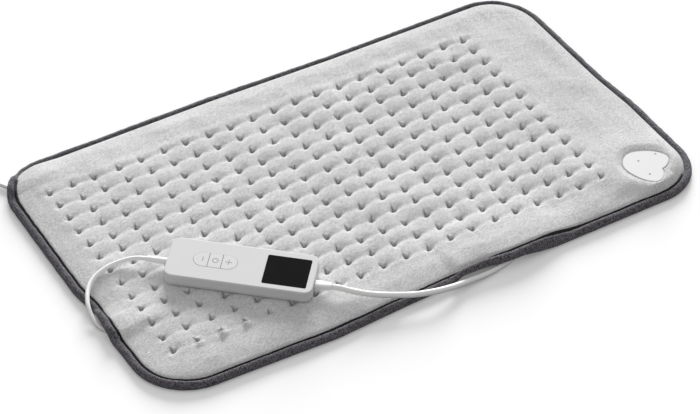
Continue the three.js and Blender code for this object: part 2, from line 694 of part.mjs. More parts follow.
const padLeadRoute = [
  onPad(CASE_LENGTH / 2 + PAD_RELIEF_LENGTH + SEAT_GAP, PAD_RELIEF_OFFSET, RELIEF_HEIGHT),
  ...PAD_LEAD_POINTS,
  [SLEEVE_LEFT - SEAT_GAP - PAD_LEAD_DIAMETER, PLUG_AXIS_Y, PLUG_MIDDLE],
  [SLEEVE_LEFT - SEAT_GAP, PLUG_AXIS_Y, PLUG_MIDDLE],
];

const COIL_PITCH = MAINS_LEAD_DIAMETER + COIL_GAP;
const COIL_BOTTOM = TIE_WALL + SEAT_GAP;
const COIL_START = THREE.MathUtils.degToRad(COIL_START_DEG);

// A place on the coil's path: layers spiral in and out by turns, and climb in the
// half turn where the spiral reverses.
function coilPoint(turned2) {
  let left = turned2;
  let radius = COIL_MIDDLE_RADIUS + COIL_TURNS * COIL_PITCH / 2;
  let height = COIL_BOTTOM + MAINS_LEAD_RADIUS;
  for (let layer = 0; layer < COIL_LAYERS; layer += 1) {
    const inward = layer % 2 === 0 ? -1 : 1;
    const run = Math.min(left, COIL_TURNS);
    radius += inward * run * COIL_PITCH;
    left -= run;
    const climb = Math.min(left, 0.5);
    radius += inward * Math.min(climb, 0.5 - climb) * COIL_PITCH;
    height += climb / 0.5 * COIL_PITCH;
    left -= climb;
  }
  const angle = COIL_START + turned2 * Math.PI * 2;
  return new THREE.Vector3(
    COIL_CENTRE[0] + radius * Math.cos(angle),
    COIL_CENTRE[1] + radius * Math.sin(angle),
    height,
  );
}

const COIL_TOTAL_TURNS = (COIL_LAYERS - 1) * (COIL_TURNS + 0.5) + COIL_LAST_TURNS;

// The coil's path, with a straight end of one diameter at each side
function coilRoute() {
  const count = Math.round(COIL_TOTAL_TURNS * COIL_LOOP_STEPS);
  const points = Array.from({ length: count + 1 }, (_, i) => coilPoint(i / COIL_LOOP_STEPS));
  const first = points[0];
  const last = points[points.length - 1];
  const lead = (at, towards) => at.clone().add(
    new THREE.Vector3(-Math.sin(towards), Math.cos(towards), 0).multiplyScalar(MAINS_LEAD_DIAMETER));
  const endAngle = COIL_START + COIL_TOTAL_TURNS * Math.PI * 2;
  return [lead(first, COIL_START + Math.PI), ...points, lead(last, endAngle)];
}

const coilPath = coilRoute();

// Ends of the mains lead's stretches, a seat gap short of the coil's ends
function shortOf(end, next) {
  return end.clone().add(end.clone().sub(next).setLength(SEAT_GAP)).toArray();
}

const coilIn = shortOf(coilPath[0], coilPath[1]);
const coilOut = shortOf(coilPath[coilPath.length - 1], coilPath[coilPath.length - 2]);
const mainsLeadRoute = [
  onPad(-CASE_LENGTH / 2 - MAINS_RELIEF_LENGTH - SEAT_GAP, MAINS_RELIEF_OFFSET, RELIEF_HEIGHT),
  ...MAINS_LEAD_POINTS,
  coilIn,
];

const MAINS_PLUG_TURN = THREE.MathUtils.degToRad(MAINS_PLUG_TURN_DEG);
const plugHeading = new THREE.Vector3(Math.cos(MAINS_PLUG_TURN), Math.sin(MAINS_PLUG_TURN), 0);
const plugStart = new THREE.Vector3(...MAINS_PLUG_START, MAINS_PLUG_THICKNESS / 2);
const tailRoute = [
  coilOut,
  ...TAIL_POINTS,
  plugStart.clone().addScaledVector(plugHeading, -SEAT_GAP).toArray(),
];

// Soft covers

const socketCeiling = SOCKET_TOP + SEAT_GAP;
const drapedFloor = drape(stackPoints.map(() => 0), [
  ...leadSamples(padLeadRoute.slice(PAD_LEAD_UNDER), PAD_LEAD_RADIUS),
  ...leadSamples(mainsLeadRoute.slice(MAINS_LEAD_UNDER), MAINS_LEAD_RADIUS),
  ...blockSamples(
    SLEEVE_LEFT, PLUG_RIGHT + SEAT_GAP,
    PLUG_AXIS_Y - PLUG_WIDTH / 2, PLUG_AXIS_Y + PLUG_WIDTH / 2,
    SEAT_GAP + PLUG_THICKNESS + SEAT_GAP),
]);
// The edge lifts level across its width, so the outline and the base ring share their heights
const floorHeights = drapedFloor.map((z, i) => (
  i < RING_POINTS * 2 ? Math.max(z, drapedFloor[(i + RING_POINTS) % (RING_POINTS * 2)]) : z));

// The top cover's underside clears the bottom cover, and the layers between them at the core
const rimOffset = RIM_RISE + BOTTOM_COVER + SEAT_GAP;
const clearOffset = BOTTOM_COVER + LAYER_GAP;
const leastCeilings = [0, 0, 0, SHOULDER_HEIGHT, CORE_HEIGHT];
const ceilingHeights = drape(
  floorHeights.map((z, i) => Math.max(z + clearOffset, leastCeilings[Math.floor(i / RING_POINTS)])),
  blockSamples(SOCKET_LEFT, SOCKET_RIGHT, SOCKET_FRONT, SOCKET_BACK, socketCeiling),
);
const RIM_SHARE = RIM_INSET / BASE_INSET;

// A ring of the covers at heights taken from a field, with its rim loop in place of the outline's
function fieldRing(heights, ring, extra = 0) {
  return ringStack[ring].map((p, i) => {
    const z = heights[ring * RING_POINTS + i];
    return new THREE.Vector3(p.x, p.y, z + extra);
  });
}

function rimLoop(heights, extra) {
  return rimRing.map((p, i) => new THREE.Vector3(p.x, p.y, THREE.MathUtils.lerp(
    heights[i], heights[RING_POINTS + i], RIM_SHARE) + extra));
}

// Collects loops of points and the strips of faces between them
function patchwork() {
  const points = [];
  const index = [];
  const addLoop = (loop) => {
    const start = points.length;
    points.push(...loop);
    return loop.map((_, i) => start + i);
  };
  // The faces between an outer loop and the loop inside it, seen from above or below
  const strip = (outer, inner, up = true) => {
    for (let i = 0; i < outer.length; i += 1) {
      const j = (i + 1) % outer.length;
      const faces = [[outer[i], outer[j], inner[j]], [outer[i], inner[j], inner[i]]];
      faces.forEach(([a, b, c]) => index.push(...(up ? [a, b, c] : [a, c, b])));
    }
  };
  const core = (loop, up) => {
    for (const face of coreTriangles) {
      const [a, b, c] = face.map((i) => loop[i - coreStart]);
      index.push(...(up ? [a, b, c] : [a, c, b]));
    }
  };
  const geometry = () => {
    const made = new THREE.BufferGeometry();
    made.setAttribute('position', new THREE.Float32BufferAttribute(
      points.flatMap((p) => [p.x, p.y, p.z]), 3));
    made.setIndex(index);
    return made;
  };
  return { points, index, addLoop, strip, core, geometry };
}

function bottomCover() {
  const mesh = patchwork();
  const rings = [1, 2, 3, 4];
  const under = rings.map((ring) => mesh.addLoop(fieldRing(floorHeights, ring)));
  const upper = rings.map((ring) => mesh.addLoop(fieldRing(floorHeights, ring, BOTTOM_COVER)));
  const rim = mesh.addLoop(rimLoop(floorHeights, RIM_RISE));
  const rimTop = mesh.addLoop(rimLoop(floorHeights, RIM_RISE + BOTTOM_COVER));
  mesh.strip(rim, rimTop);
  [rim, ...under].forEach((loop, i) => {
    if (i < rings.length) {
      mesh.strip(loop, under[i], false);
    }
  });
  [rimTop, ...upper].forEach((loop, i) => {
    if (i < rings.length) {
      mesh.strip(loop, upper[i]);
    }
  });
  mesh.core(under[rings.length - 1], false);
  mesh.core(upper[rings.length - 1], true);
  const opening = roundedLoop(
    SOCKET_SIZE[0] / 2 + SEAT_GAP, SOCKET_SIZE[1] / 2 + SEAT_GAP,
    Array(4).fill(SOCKET_CORNER), SOCKET_STEPS)
    .map((p) => new THREE.Vector2(p.x + SOCKET_CENTRE[0], p.y + SOCKET_CENTRE[1]));
  return carve(mesh.geometry(), [], [plate(opening, -OVERRUN, CROWN_HEIGHT + OVERRUN)]);
}

// Joins an outer and an inner loop with different numbers of points, walking round both
function zipper(outer, inner) {
  const faces = [];
  let a = 0;
  let b = 0;
  const at = (loop, i) => loop[i % loop.length];
  while (a < outer.length || b < inner.length) {
    const stepOuter = at(outer, a + 1).distanceToSquared(at(inner, b));
    const stepInner = at(outer, a).distanceToSquared(at(inner, b + 1));
    if (b >= inner.length || (a < outer.length && stepOuter <= stepInner)) {
      faces.push([['outer', a], ['outer', a + 1], ['inner', b]]);
      a += 1;
    } else {
      faces.push([['outer', a], ['inner', b + 1], ['inner', b]]);
      b += 1;
    }
  }
  return faces;
}

// Height of the quilted surface above the bottom, at a mesh step of the tuft grid
function quiltHeight(column, row) {
  const onColumn = column % QUILT_STEPS === 0;
  const onRow = row % QUILT_STEPS === 0;
  if (onColumn && onRow) {
    return TUFT_HEIGHT;
  }
  if (onRow) {
    return ROW_CREST_HEIGHT;
  }
  return onColumn ? COLUMN_CREST_HEIGHT : CROWN_HEIGHT;
}

function topCover() {
  const mesh = patchwork();
  const columns = (TUFT_COLUMNS - 1) * QUILT_STEPS + 1;
  const rows = (TUFT_ROWS - 1) * QUILT_STEPS + 1;
  const grid = [];
  for (let r = 0; r < rows; r += 1) {
    for (let c = 0; c < columns; c += 1) {
      const x = TUFT_MARGIN_LEFT - PAD_RIGHT + c * TUFT_PITCH_X / QUILT_STEPS;
      const y = TUFT_MARGIN_FRONT - PAD_BACK + r * TUFT_PITCH_Y / QUILT_STEPS;
      const tufted = c % QUILT_STEPS === 0 && r % QUILT_STEPS === 0;
      const least = fieldHeight(ceilingHeights, x, y) + (tufted ? PINCHED : PADDED);
      grid.push(new THREE.Vector3(x, y, Math.max(quiltHeight(c, r), least)));
    }
  }
  const gridPoints = mesh.addLoop(grid);
  const at = (c, r) => gridPoints[r * columns + c];
  for (let r = 0; r + 1 < rows; r += 1) {
    for (let c = 0; c + 1 < columns; c += 1) {
      const [a, b, d, e] = [at(c, r), at(c + 1, r), at(c, r + 1), at(c + 1, r + 1)];
      mesh.index.push(...((c + r) % 2 === 0 ? [a, b, e, a, e, d] : [a, b, d, b, e, d]));
    }
  }
  // The grid's border, anticlockwise from the front end of its right side
  const border = [];
  for (let r = 0; r < rows - 1; r += 1) {
    border.push(at(columns - 1, r));
  }
  for (let c = columns - 1; c > 0; c -= 1) {
    border.push(at(c, rows - 1));
  }
  for (let r = rows - 1; r > 0; r -= 1) {
    border.push(at(0, r));
  }
  for (let c = 0; c < columns - 1; c += 1) {
    border.push(at(c, 0));
  }
  const margin = mesh.addLoop(ridgeRing.map((p, i) => new THREE.Vector3(
    p.x, p.y, Math.max(MARGIN_HEIGHT, ceilingHeights[RING_POINTS * 2 + i] + PINCHED))));
  const rim = mesh.addLoop(rimLoop(floorHeights, rimOffset + RIM_TOP_COVER));
  const rimUnder = mesh.addLoop(rimLoop(floorHeights, rimOffset));
  const rings = [1, 2, 3, 4];
  const under = rings.map((ring) => mesh.addLoop(fieldRing(ceilingHeights, ring)));

  // The walk round the border starts at the point nearest to the margin's first
  const nearest = (i) => mesh.points[i].distanceTo(mesh.points[margin[0]]);
  const start = border.reduce((best, i, k) => (nearest(i) < nearest(border[best]) ? k : best), 0);
  const inner = [...border.slice(start), ...border.slice(0, start)];
  const pointsOf = (loop) => loop.map((i) => mesh.points[i]);
  for (const face of zipper(pointsOf(margin), pointsOf(inner))) {
    mesh.index.push(...face.map(([loop, i]) => (
      loop === 'outer' ? margin[i % margin.length] : inner[i % inner.length])));
  }
  mesh.strip(rim, margin);
  mesh.strip(rimUnder, rim);
  [rimUnder, ...under].forEach((loop, i) => {
    if (i < rings.length) {
      mesh.strip(loop, under[i], false);
    }
  });
  mesh.core(under[rings.length - 1], false);
  return mesh.geometry();
}

function binding() {
  const inner = BINDING_WIDTH;
  const round = BINDING_ROUND;
  const top = BINDING_HEIGHT;
  const section = [
    [inner, 0], [round, 0], [BINDING_SHOULDER, round], [0, top / 2],
    [BINDING_SHOULDER, top - round], [round, top], [inner - round / 2, top],
    [inner, top - BINDING_WALL / 2], [inner, top - BINDING_WALL],
    [BINDING_WALL, top - BINDING_WALL], [BINDING_WALL, BINDING_WALL], [inner, BINDING_WALL],
  ];
  const loops = section.map(([inset, z]) => {
    const share = inset / BASE_INSET;
    return between(outlineRing, baseRing, share).map((p, i) => new THREE.Vector3(
      p.x, p.y, z + THREE.MathUtils.lerp(floorHeights[i], floorHeights[RING_POINTS + i], share)));
  });
  return skin(loops, true);
}

// Heart outline of the plate, by two halves that mirror each other
function heartLoop(grow, steps = PLATE_STEPS) {
  const half = new THREE.CurvePath();
  const tip = new THREE.Vector3(-PLATE_TIP - grow, 0, 0);
  const side = new THREE.Vector3(-PLATE_HALF_WIDTH * HEART_SIDE_SHARE, PLATE_HALF_WIDTH * HEART_BULGE_SHARE + grow, 0);
  const wide = new THREE.Vector3(PLATE_LOBE_REACH * HEART_WIDE_SHARE, PLATE_HALF_WIDTH + grow, 0);
  const lobe = new THREE.Vector3(PLATE_LOBE_REACH + grow, PLATE_HALF_WIDTH * HEART_LOBE_SHARE, 0);
  const notch = new THREE.Vector3(PLATE_NOTCH_REACH + grow, 0, 0);
  half.add(new THREE.QuadraticBezierCurve3(
    tip, new THREE.Vector3(tip.x, side.y * HEART_TIP_SHARE, 0), side));
  half.add(new THREE.QuadraticBezierCurve3(
    side, new THREE.Vector3((side.x + wide.x) / 2, wide.y, 0), wide));
  half.add(new THREE.QuadraticBezierCurve3(
    wide, new THREE.Vector3(lobe.x, wide.y, 0), lobe));
  half.add(new THREE.QuadraticBezierCurve3(
    lobe, new THREE.Vector3(lobe.x, lobe.y * HEART_NOTCH_SHARE, 0), notch));
  const upper = [];
  half.curves.forEach((curve, k) => {
    for (let i = k === 0 ? 0 : 1; i <= steps; i += 1) {
      upper.push(curve.getPoint(i / steps));
    }
  });
  const lower = upper.slice(1, -1).map((p) => new THREE.Vector3(p.x, -p.y, 0)).reverse();
  const turn = THREE.MathUtils.degToRad(PLATE_TURN_DEG);
  const all = [...upper, ...lower].reverse();
  return all.map((p) => new THREE.Vector2(p.x, p.y)
    .rotateAround(new THREE.Vector2(), turn)
    .add(new THREE.Vector2(...PLATE_CENTRE)));
}

// The housing passes through both covers. Its flange carries the plate, clear of the plush.
const plateBottom = CROWN_HEIGHT + SEAT_GAP;
const plateTop = plateBottom + PLATE_THICKNESS;
const flangeTop = plateBottom - SEAT_GAP;
const flangeBottom = flangeTop - FLANGE_THICKNESS;

function addPad() {
  const opening = plate(
    heartLoop(SEAT_GAP - FLANGE_INSET, FLANGE_STEPS), 0, CROWN_HEIGHT + OVERRUN);
  place('pad_top_cover', carve(topCover(), [], [opening]), plush());
  place('pad_bottom_cover', bottomCover(), plush());
  place('edge_binding', binding(), knitTape());

  const middle = new THREE.Vector2(HEATER_LEFT + HEATER_LENGTH / 2, HEATER_FRONT + HEATER_WIDTH / 2);
  const sheet = roundedLoop(HEATER_LENGTH / 2, HEATER_WIDTH / 2, Array(4).fill(HEATER_CORNER), 3)
    .map((p) => p.add(middle));
  place('fleece_layer', plate(sheet, FLEECE_BOTTOM, FLEECE_BOTTOM + FLEECE), feltGrey());
  place('heater_carrier', plate(sheet, CARRIER_BOTTOM, CARRIER_BOTTOM + CARRIER), feltGrey());
  addHeatingWire();
}

// The wire runs up and down the carrier, with half-round turns at the ends
function addHeatingWire() {
  const pitch = (HEATER_WIDTH - WIRE_MARGIN * 2) / (WIRE_RUNS - 1);
  const near = HEATER_LEFT + WIRE_MARGIN + pitch / 2;
  const far = HEATER_LEFT + HEATER_LENGTH - WIRE_MARGIN - pitch / 2;
  const path = new THREE.CurvePath();
  const at = (x, y) => new THREE.Vector3(x, y, WIRE_HEIGHT);
  const bend = Math.PI / 2;
  for (let run = 0; run < WIRE_RUNS; run += 1) {
    const y = HEATER_FRONT + WIRE_MARGIN + run * pitch;
    const [from, to] = run % 2 === 0 ? [far, near] : [near, far];
    path.add(new THREE.LineCurve3(at(from, y), at(to, y)));
    if (run < WIRE_RUNS - 1) {
      const out = Math.sign(to - from) * pitch / 2;
      const points = [];
      for (let i = 0; i <= WIRE_TURN_STEPS; i += 1) {
        const angle = -bend + Math.PI * i / WIRE_TURN_STEPS;
        points.push(at(to + out * Math.cos(angle), y + pitch / 2 + pitch / 2 * Math.sin(angle)));
      }
      for (let i = 0; i < WIRE_TURN_STEPS; i += 1) {
        path.add(new THREE.LineCurve3(points[i], points[i + 1]));
      }
    }
  }
  const corners = [path.curves[0].v1, ...path.curves.map((curve) => curve.v2)];
  place('heating_wire', ribbonTube(corners, WIRE_DIAMETER / 2, WIRE_SIDES), wireRed());

  const sensorX = HEATER_LEFT + HEATER_LENGTH * SENSOR_ALONG_SHARE;
  const cutoutY = HEATER_FRONT + WIRE_MARGIN + (Math.floor(WIRE_RUNS * CUTOUT_ROW_SHARE) + 0.5) * pitch;
  const cutout = turned([
    [-CUTOUT_LENGTH / 2, CUTOUT_DIAMETER / 2 - LEAD_RADIUS / 2], [-CUTOUT_LENGTH / 2 + LEAD_RADIUS, CUTOUT_DIAMETER / 2],
    [CUTOUT_LENGTH / 2 - LEAD_RADIUS, CUTOUT_DIAMETER / 2], [CUTOUT_LENGTH / 2, CUTOUT_DIAMETER / 2 - LEAD_RADIUS / 2],
  ], 10);
  cutout.scale(1, 1, WIRE_DIAMETER / CUTOUT_DIAMETER);
  cutout.translate(sensorX - CUTOUT_LENGTH * 2, cutoutY, WIRE_HEIGHT);
  place('thermal_cutout', cutout, steel());
  place('temperature_sensor', block(
    SENSOR_SIZE, [sensorX, cutoutY], WIRE_HEIGHT - WIRE_DIAMETER / 2), partBlack());
}

// A thin tube with one ring at each given corner of a path in a level plane
function ribbonTube(corners, radius, sides) {
  const rings = corners.map((p, i) => {
    const before = corners[Math.max(0, i - 1)];
    const after = corners[Math.min(corners.length - 1, i + 1)];
    const along = after.clone().sub(before).normalize();
    const across = new THREE.Vector3(-along.y, along.x, 0);
    const a = p.clone().sub(before).normalize();
    const stretch = i > 0 && i < corners.length - 1 ? 1 / Math.max(0.5, a.dot(along)) : 1;
    return Array.from({ length: sides }, (_, k) => {
      const angle = (k + 0.5) / sides * Math.PI * 2;
      return p.clone().addScaledVector(across, radius * Math.cos(angle) * stretch)
        .add(new THREE.Vector3(0, 0, radius * Math.sin(angle)));
    });
  });
  const position = rings.flat().flatMap((p) => [p.x, p.y, p.z]);
  const index = [];
  for (let r = 0; r + 1 < rings.length; r += 1) {
    for (let k = 0; k < sides; k += 1) {
      const [a, b] = [r * sides + k, r * sides + (k + 1) % sides];
      index.push(a, b, a + sides, b, b + sides, a + sides);
    }
  }
  const last = (rings.length - 1) * sides;
  for (let k = 1; k + 1 < sides; k += 1) {
    index.push(0, k + 1, k, last, last + k, last + k + 1);
  }
  const geometry = new THREE.BufferGeometry();
  geometry.setAttribute('position', new THREE.Float32BufferAttribute(position, 3));
  geometry.setIndex(index);
  return geometry;
}

function addConnector() {
  const edge = PLATE_EDGE;
  const rivets = (radius, bottom, top) => RIVET_PLACES.map((at) => rod(
    radius, bottom, top, at, RIVET_SIDES));
  const plateBody = skin([
    level(heartLoop(0), plateBottom), level(heartLoop(0), plateTop - edge),
    level(heartLoop(-edge), plateTop)]);
  const rivetBore = RIVET_DIAMETER / 2 + SEAT_GAP;
  place('connector_cover', carve(
    plateBody, [], rivets(rivetBore, 0, plateTop + OVERRUN)), whitePlastic());

  const corners = Array(4).fill(SOCKET_CORNER);
  const loop = (grow) => roundedLoop(
    SOCKET_SIZE[0] / 2 + grow, SOCKET_SIZE[1] / 2 + grow,
    corners.map((radius) => radius + grow), SOCKET_STEPS)
    .map((p) => p.add(new THREE.Vector2(...SOCKET_CENTRE)));
  const body = skin([
    level(loop(-PLATE_EDGE), SEAT_GAP), level(loop(0), SEAT_GAP + PLATE_EDGE),
    level(loop(0), SOCKET_TOP - PLATE_EDGE), level(loop(-PLATE_EDGE), SOCKET_TOP)]);
  const pocketDepth = TONGUE_LENGTH + SEAT_GAP;
  const pocket = block(
    [pocketDepth + OVERRUN, TONGUE_WIDTH + SEAT_GAP * 2, TONGUE_THICKNESS + SEAT_GAP * 2],
    [SOCKET_LEFT + (pocketDepth - OVERRUN) / 2, PLUG_AXIS_Y],
    PLUG_MIDDLE - TONGUE_THICKNESS / 2 - SEAT_GAP);
  const contactSpots = [-1, 1].map((side) => PLUG_AXIS_Y + side * CONTACT_PITCH / 2);
  const contactStart = SOCKET_LEFT + pocketDepth - CONTACT_LENGTH + CONTACT_HOLD;
  const bores = contactSpots.map((y) => turned([
    [contactStart + TONGUE_LENGTH - CONTACT_HOLD * 2, CONTACT_DIAMETER / 2 + SEAT_GAP],
    [contactStart + CONTACT_LENGTH + SEAT_GAP, CONTACT_DIAMETER / 2 + SEAT_GAP],
  ], RIVET_SIDES).translate(0, y, PLUG_MIDDLE));
  const neck = plate(loop(-PLATE_EDGE), SOCKET_TOP - PLATE_EDGE * 2, flangeBottom + PLATE_EDGE);
  const neckInHeart = geometryOf(solidOf(neck).intersect(solidOf(
    plate(heartLoop(-FLANGE_INSET, FLANGE_STEPS), 0, plateTop))));
  const flange = plate(heartLoop(-FLANGE_INSET, FLANGE_STEPS), flangeBottom, flangeTop);
  const rivetBottom = flangeTop - RIVET_DEPTH;
  place('connector_housing', carve(body, [neckInHeart, flange], [
    pocket, ...bores, ...rivets(rivetBore, rivetBottom - SEAT_GAP, plateTop)]), whitePlastic());
  contactSpots.forEach((y, i) => {
    const radius = CONTACT_DIAMETER / 2;
    place(`socket_contact_${i + 1}`, turned([
      [contactStart, radius / 2], [contactStart + radius, radius],
      [contactStart + CONTACT_LENGTH, radius]], RIVET_SIDES)
      .translate(0, y, PLUG_MIDDLE), brass());
  });
  rivets(RIVET_DIAMETER / 2, rivetBottom, plateTop - SEAT_GAP / 2).forEach((rivet, i) => {
    place(`cover_rivet_${i + 1}`, rivet, steel());
  });
  addConnectorPlug(contactSpots, contactStart);
}

function addConnectorPlug(contactSpots, contactStart) {
  const loop = roundedLoop(
    PLUG_LENGTH / 2, PLUG_WIDTH / 2, Array(4).fill(PLUG_CORNER), SOCKET_STEPS)
    .map((p) => p.add(new THREE.Vector2((PLUG_LEFT + PLUG_RIGHT) / 2, PLUG_AXIS_Y)));
  const inner = loop.map((p) => {
    const centre = new THREE.Vector2((PLUG_LEFT + PLUG_RIGHT) / 2, PLUG_AXIS_Y);
    const shrink = 1 - PLATE_EDGE * 2 / PLUG_WIDTH;
    return p.clone().sub(centre).multiplyScalar(shrink).add(centre);
  });
  const top = SEAT_GAP + PLUG_THICKNESS;
  const body = skin([
    level(inner, SEAT_GAP), level(loop, SEAT_GAP + PLATE_EDGE),
    level(loop, top - PLATE_EDGE), level(inner, top)]);
  const tongue = block(
    [TONGUE_LENGTH + SEAT_GAP + OVERRUN, TONGUE_WIDTH, TONGUE_THICKNESS],
    [PLUG_RIGHT - OVERRUN + (TONGUE_LENGTH + SEAT_GAP + OVERRUN) / 2, PLUG_AXIS_Y],
    PLUG_MIDDLE - TONGUE_THICKNESS / 2);
  const bores = contactSpots.map((y) => turned([
    [contactStart - SEAT_GAP, CONTACT_DIAMETER / 2 + SEAT_GAP],
    [contactStart + CONTACT_LENGTH, CONTACT_DIAMETER / 2 + SEAT_GAP],
  ], RIVET_SIDES).translate(0, y, PLUG_MIDDLE));
  const grips = [];
  for (let i = 0; i < PLUG_GRIP_COUNT; i += 1) {
    const x = PLUG_LEFT + PLUG_CORNER + PLUG_GRIP_WIDTH + i * PLUG_GRIP_PITCH;
    for (const side of [-1, 1]) {
      const y = PLUG_AXIS_Y + side * (PLUG_WIDTH / 2 + OVERRUN - PLUG_GRIP_DEPTH);
      grips.push(block([PLUG_GRIP_WIDTH, OVERRUN * 2, PLUG_THICKNESS * 2], [x, y], -PLUG_THICKNESS / 2));
    }
  }
  place('connector_plug', carve(body, [tongue], [...bores, ...grips]), whitePlastic());
  const narrow = PAD_LEAD_RADIUS + SEAT_GAP;
  const wide = PLUG_THICKNESS / 2;
  place('connector_sleeve', turned([
    [SLEEVE_LEFT, narrow - SEAT_GAP], [SLEEVE_LEFT + SEAT_GAP, narrow],
    [SLEEVE_LEFT + SLEEVE_LENGTH, wide]], RELIEF_SIDES)
    .translate(0, PLUG_AXIS_Y, PLUG_MIDDLE), whiteVinyl());
}

// Controller

const controller = new THREE.Group();
controller.position.set(CASE_PLACE[0], CASE_PLACE[1], CASE_BASE);
controller.rotation.z = CASE_TURN;

function caseLoop(inset) {
  return roundedLoop(
    CASE_LENGTH / 2 - inset, CASE_WIDTH / 2 - inset,
    Array(4).fill(CASE_CORNER - inset), CASE_STEPS);
}

const keyHalf = KEYS_WIDTH / 2;
const INNER_TOP = CASE_HEIGHT - CASE_WALL;
const BOARD_TOP = BOARD_HEIGHT + BOARD_THICKNESS;
const PART_SEAT = BOARD_TOP + SEAT_GAP;

function displayLoop(grow) {
  return roundedLoop(
    DISPLAY_LENGTH / 2 + grow, DISPLAY_WIDTH / 2 + grow,
    Array(4).fill(DISPLAY_CORNER), SOCKET_STEPS)
    .map((p) => p.add(new THREE.Vector2(...DISPLAY_CENTRE)));
}

// The keys' outline is a pill; a key is the stretch of it between two cuts
function keyLoop(from, to, inset) {
  const middle = KEYS_CENTRE[0];
  const half = KEYS_LENGTH / 2 - inset;
  const radius = keyHalf - inset;
  const pill = roundedLoop(half, radius, Array(4).fill(radius), KEY_STEPS)
    .map((p) => new THREE.Vector2(
      THREE.MathUtils.clamp(p.x + middle, from, to), p.y + KEYS_CENTRE[1]));
  const kept = [];
  for (const p of pill) {
    if (!kept.some((q) => q.distanceTo(p) < SEAT_GAP / 2)) {
      kept.push(p);
    }
  }
  return kept;
}

function reliefSlots() {
  const passage = (side, offset, radius, halfWidth) => {
    const x = side * (CASE_LENGTH / 2 - CASE_WALL / 2);
    const span = CASE_WALL + OVERRUN * 2;
    const hole = new THREE.CylinderGeometry(radius, radius, span, RELIEF_SIDES);
    hole.rotateZ(Math.PI / 2);
    hole.translate(x, offset, RELIEF_HEIGHT);
    return [hole, block(
      [span, halfWidth * 2, RELIEF_HEIGHT - CASE_SPLIT + OVERRUN], [x, offset], CASE_SPLIT - OVERRUN)];
  };
  const radius = RELIEF_NECK + SEAT_GAP;
  return [
    ...passage(-1, MAINS_RELIEF_OFFSET, radius, radius),
    ...passage(1, PAD_RELIEF_OFFSET, radius, radius),
  ];
}

function topShell() {
  const edge = CASE_TOP_EDGE;
  const outer = skin([
    level(caseLoop(0), CASE_SPLIT + SEAT_GAP), level(caseLoop(0), CASE_HEIGHT - edge),
    level(caseLoop(edge * EDGE_ROUND_SHARE), CASE_HEIGHT - edge * EDGE_ROUND_SHARE),
    level(caseLoop(edge), CASE_HEIGHT)]);
  const hollow = plate(caseLoop(CASE_WALL), 0, INNER_TOP);
  const keys = roundedLoop(KEYS_LENGTH / 2, keyHalf, Array(4).fill(keyHalf), KEY_STEPS)
    .map((p) => p.add(new THREE.Vector2(...KEYS_CENTRE)));
  const through = (loop) => plate(loop, INNER_TOP - OVERRUN, CASE_HEIGHT + OVERRUN);
  const holes = [hollow, through(displayLoop(0)), through(keys), ...reliefSlots()];
  const shell = carve(outer, [], holes);
  const posts = SCREW_PLACES.map((at) => rod(POST_RADIUS, POST_FOOT + SEAT_GAP, INNER_TOP + CASE_WALL / 2, at, 12));
  const bores = SCREW_PLACES.map((at) => rod(
    SCREW_RADIUS + SEAT_GAP, 0, HEAD_RECESS + SCREW_LENGTH + SEAT_GAP, at, 10));
  return carve(shell, posts, bores);
}

function bottomShell() {
  const edge = CASE_BOTTOM_EDGE;
  const outer = skin([
    level(caseLoop(edge), 0), level(caseLoop(edge * EDGE_ROUND_SHARE), edge * EDGE_ROUND_SHARE),
    level(caseLoop(0), edge), level(caseLoop(0), CASE_SPLIT)]);
  const hollow = plate(caseLoop(CASE_WALL + CASE_BOTTOM_EDGE / 2), CASE_WALL, CASE_HEIGHT);
  const lipOuter = CASE_WALL + SEAT_GAP;
  const lip = carve(
    plate(caseLoop(lipOuter), CASE_WALL, CASE_SPLIT + LIP_HEIGHT), [],
    [plate(caseLoop(lipOuter + LIP_WALL), CASE_WALL - OVERRUN, CASE_HEIGHT)]);
  const standoffs = [[1, 1], [-1, 1], [-1, -1], [1, -1]].map(([sx, sy]) => rod(
    STANDOFF_RADIUS, CASE_WALL / 2, BOARD_HEIGHT - SEAT_GAP,
    [sx * BOARD_LENGTH * STANDOFF_SHARES[0], sy * BOARD_WIDTH * STANDOFF_SHARES[1]], 10));
  const feet = SCREW_PLACES.map((at) => rod(POST_RADIUS + CASE_WALL / 2, CASE_WALL / 2, POST_FOOT, at, 12));
  const recesses = SCREW_PLACES.map((at) => rod(SCREW_HEAD_RADIUS + SEAT_GAP, -OVERRUN, HEAD_RECESS, at, 12));
  const bores = SCREW_PLACES.map((at) => rod(SCREW_RADIUS + SEAT_GAP, 0, CASE_HEIGHT, at, 10));
  const slots = [-1, 1].map((side) => block(
    [RELIEF_FLANGE * 4, (RELIEF_FLANGE + SEAT_GAP) * 2, CASE_HEIGHT],
    [side * (CASE_LENGTH / 2 - CASE_WALL - LIP_WALL), side < 0 ? MAINS_RELIEF_OFFSET : PAD_RELIEF_OFFSET],
    CASE_SPLIT));
  const shell = carve(outer, [], [hollow]);
  const carrying = solidOf(shell).add(solidOf(lip));
  return carve(geometryOf(carrying), [...standoffs, ...feet], [...recesses, ...bores, ...slots]);
}

function addCase() {
  place('controller_top_shell', topShell(), whitePlastic(), controller);
  place('controller_bottom_shell', bottomShell(), whitePlastic(), controller);
  SCREW_PLACES.forEach((at, i) => {
    const headBottom = HEAD_RECESS - SEAT_GAP - SCREW_HEAD_HEIGHT;
    const screw = carve(
      rod(SCREW_HEAD_RADIUS, headBottom, headBottom + SCREW_HEAD_HEIGHT, at, 12),
      [rod(SCREW_RADIUS, headBottom + SCREW_HEAD_HEIGHT / 2, HEAD_RECESS + SCREW_LENGTH, at, 8)],
      [rod(SCREW_SOCKET_RADIUS, headBottom - OVERRUN, headBottom + SCREW_SOCKET_DEPTH, at, 6)]);
    place(`case_screw_${i + 1}`, screw, steel(), controller);
  });
}

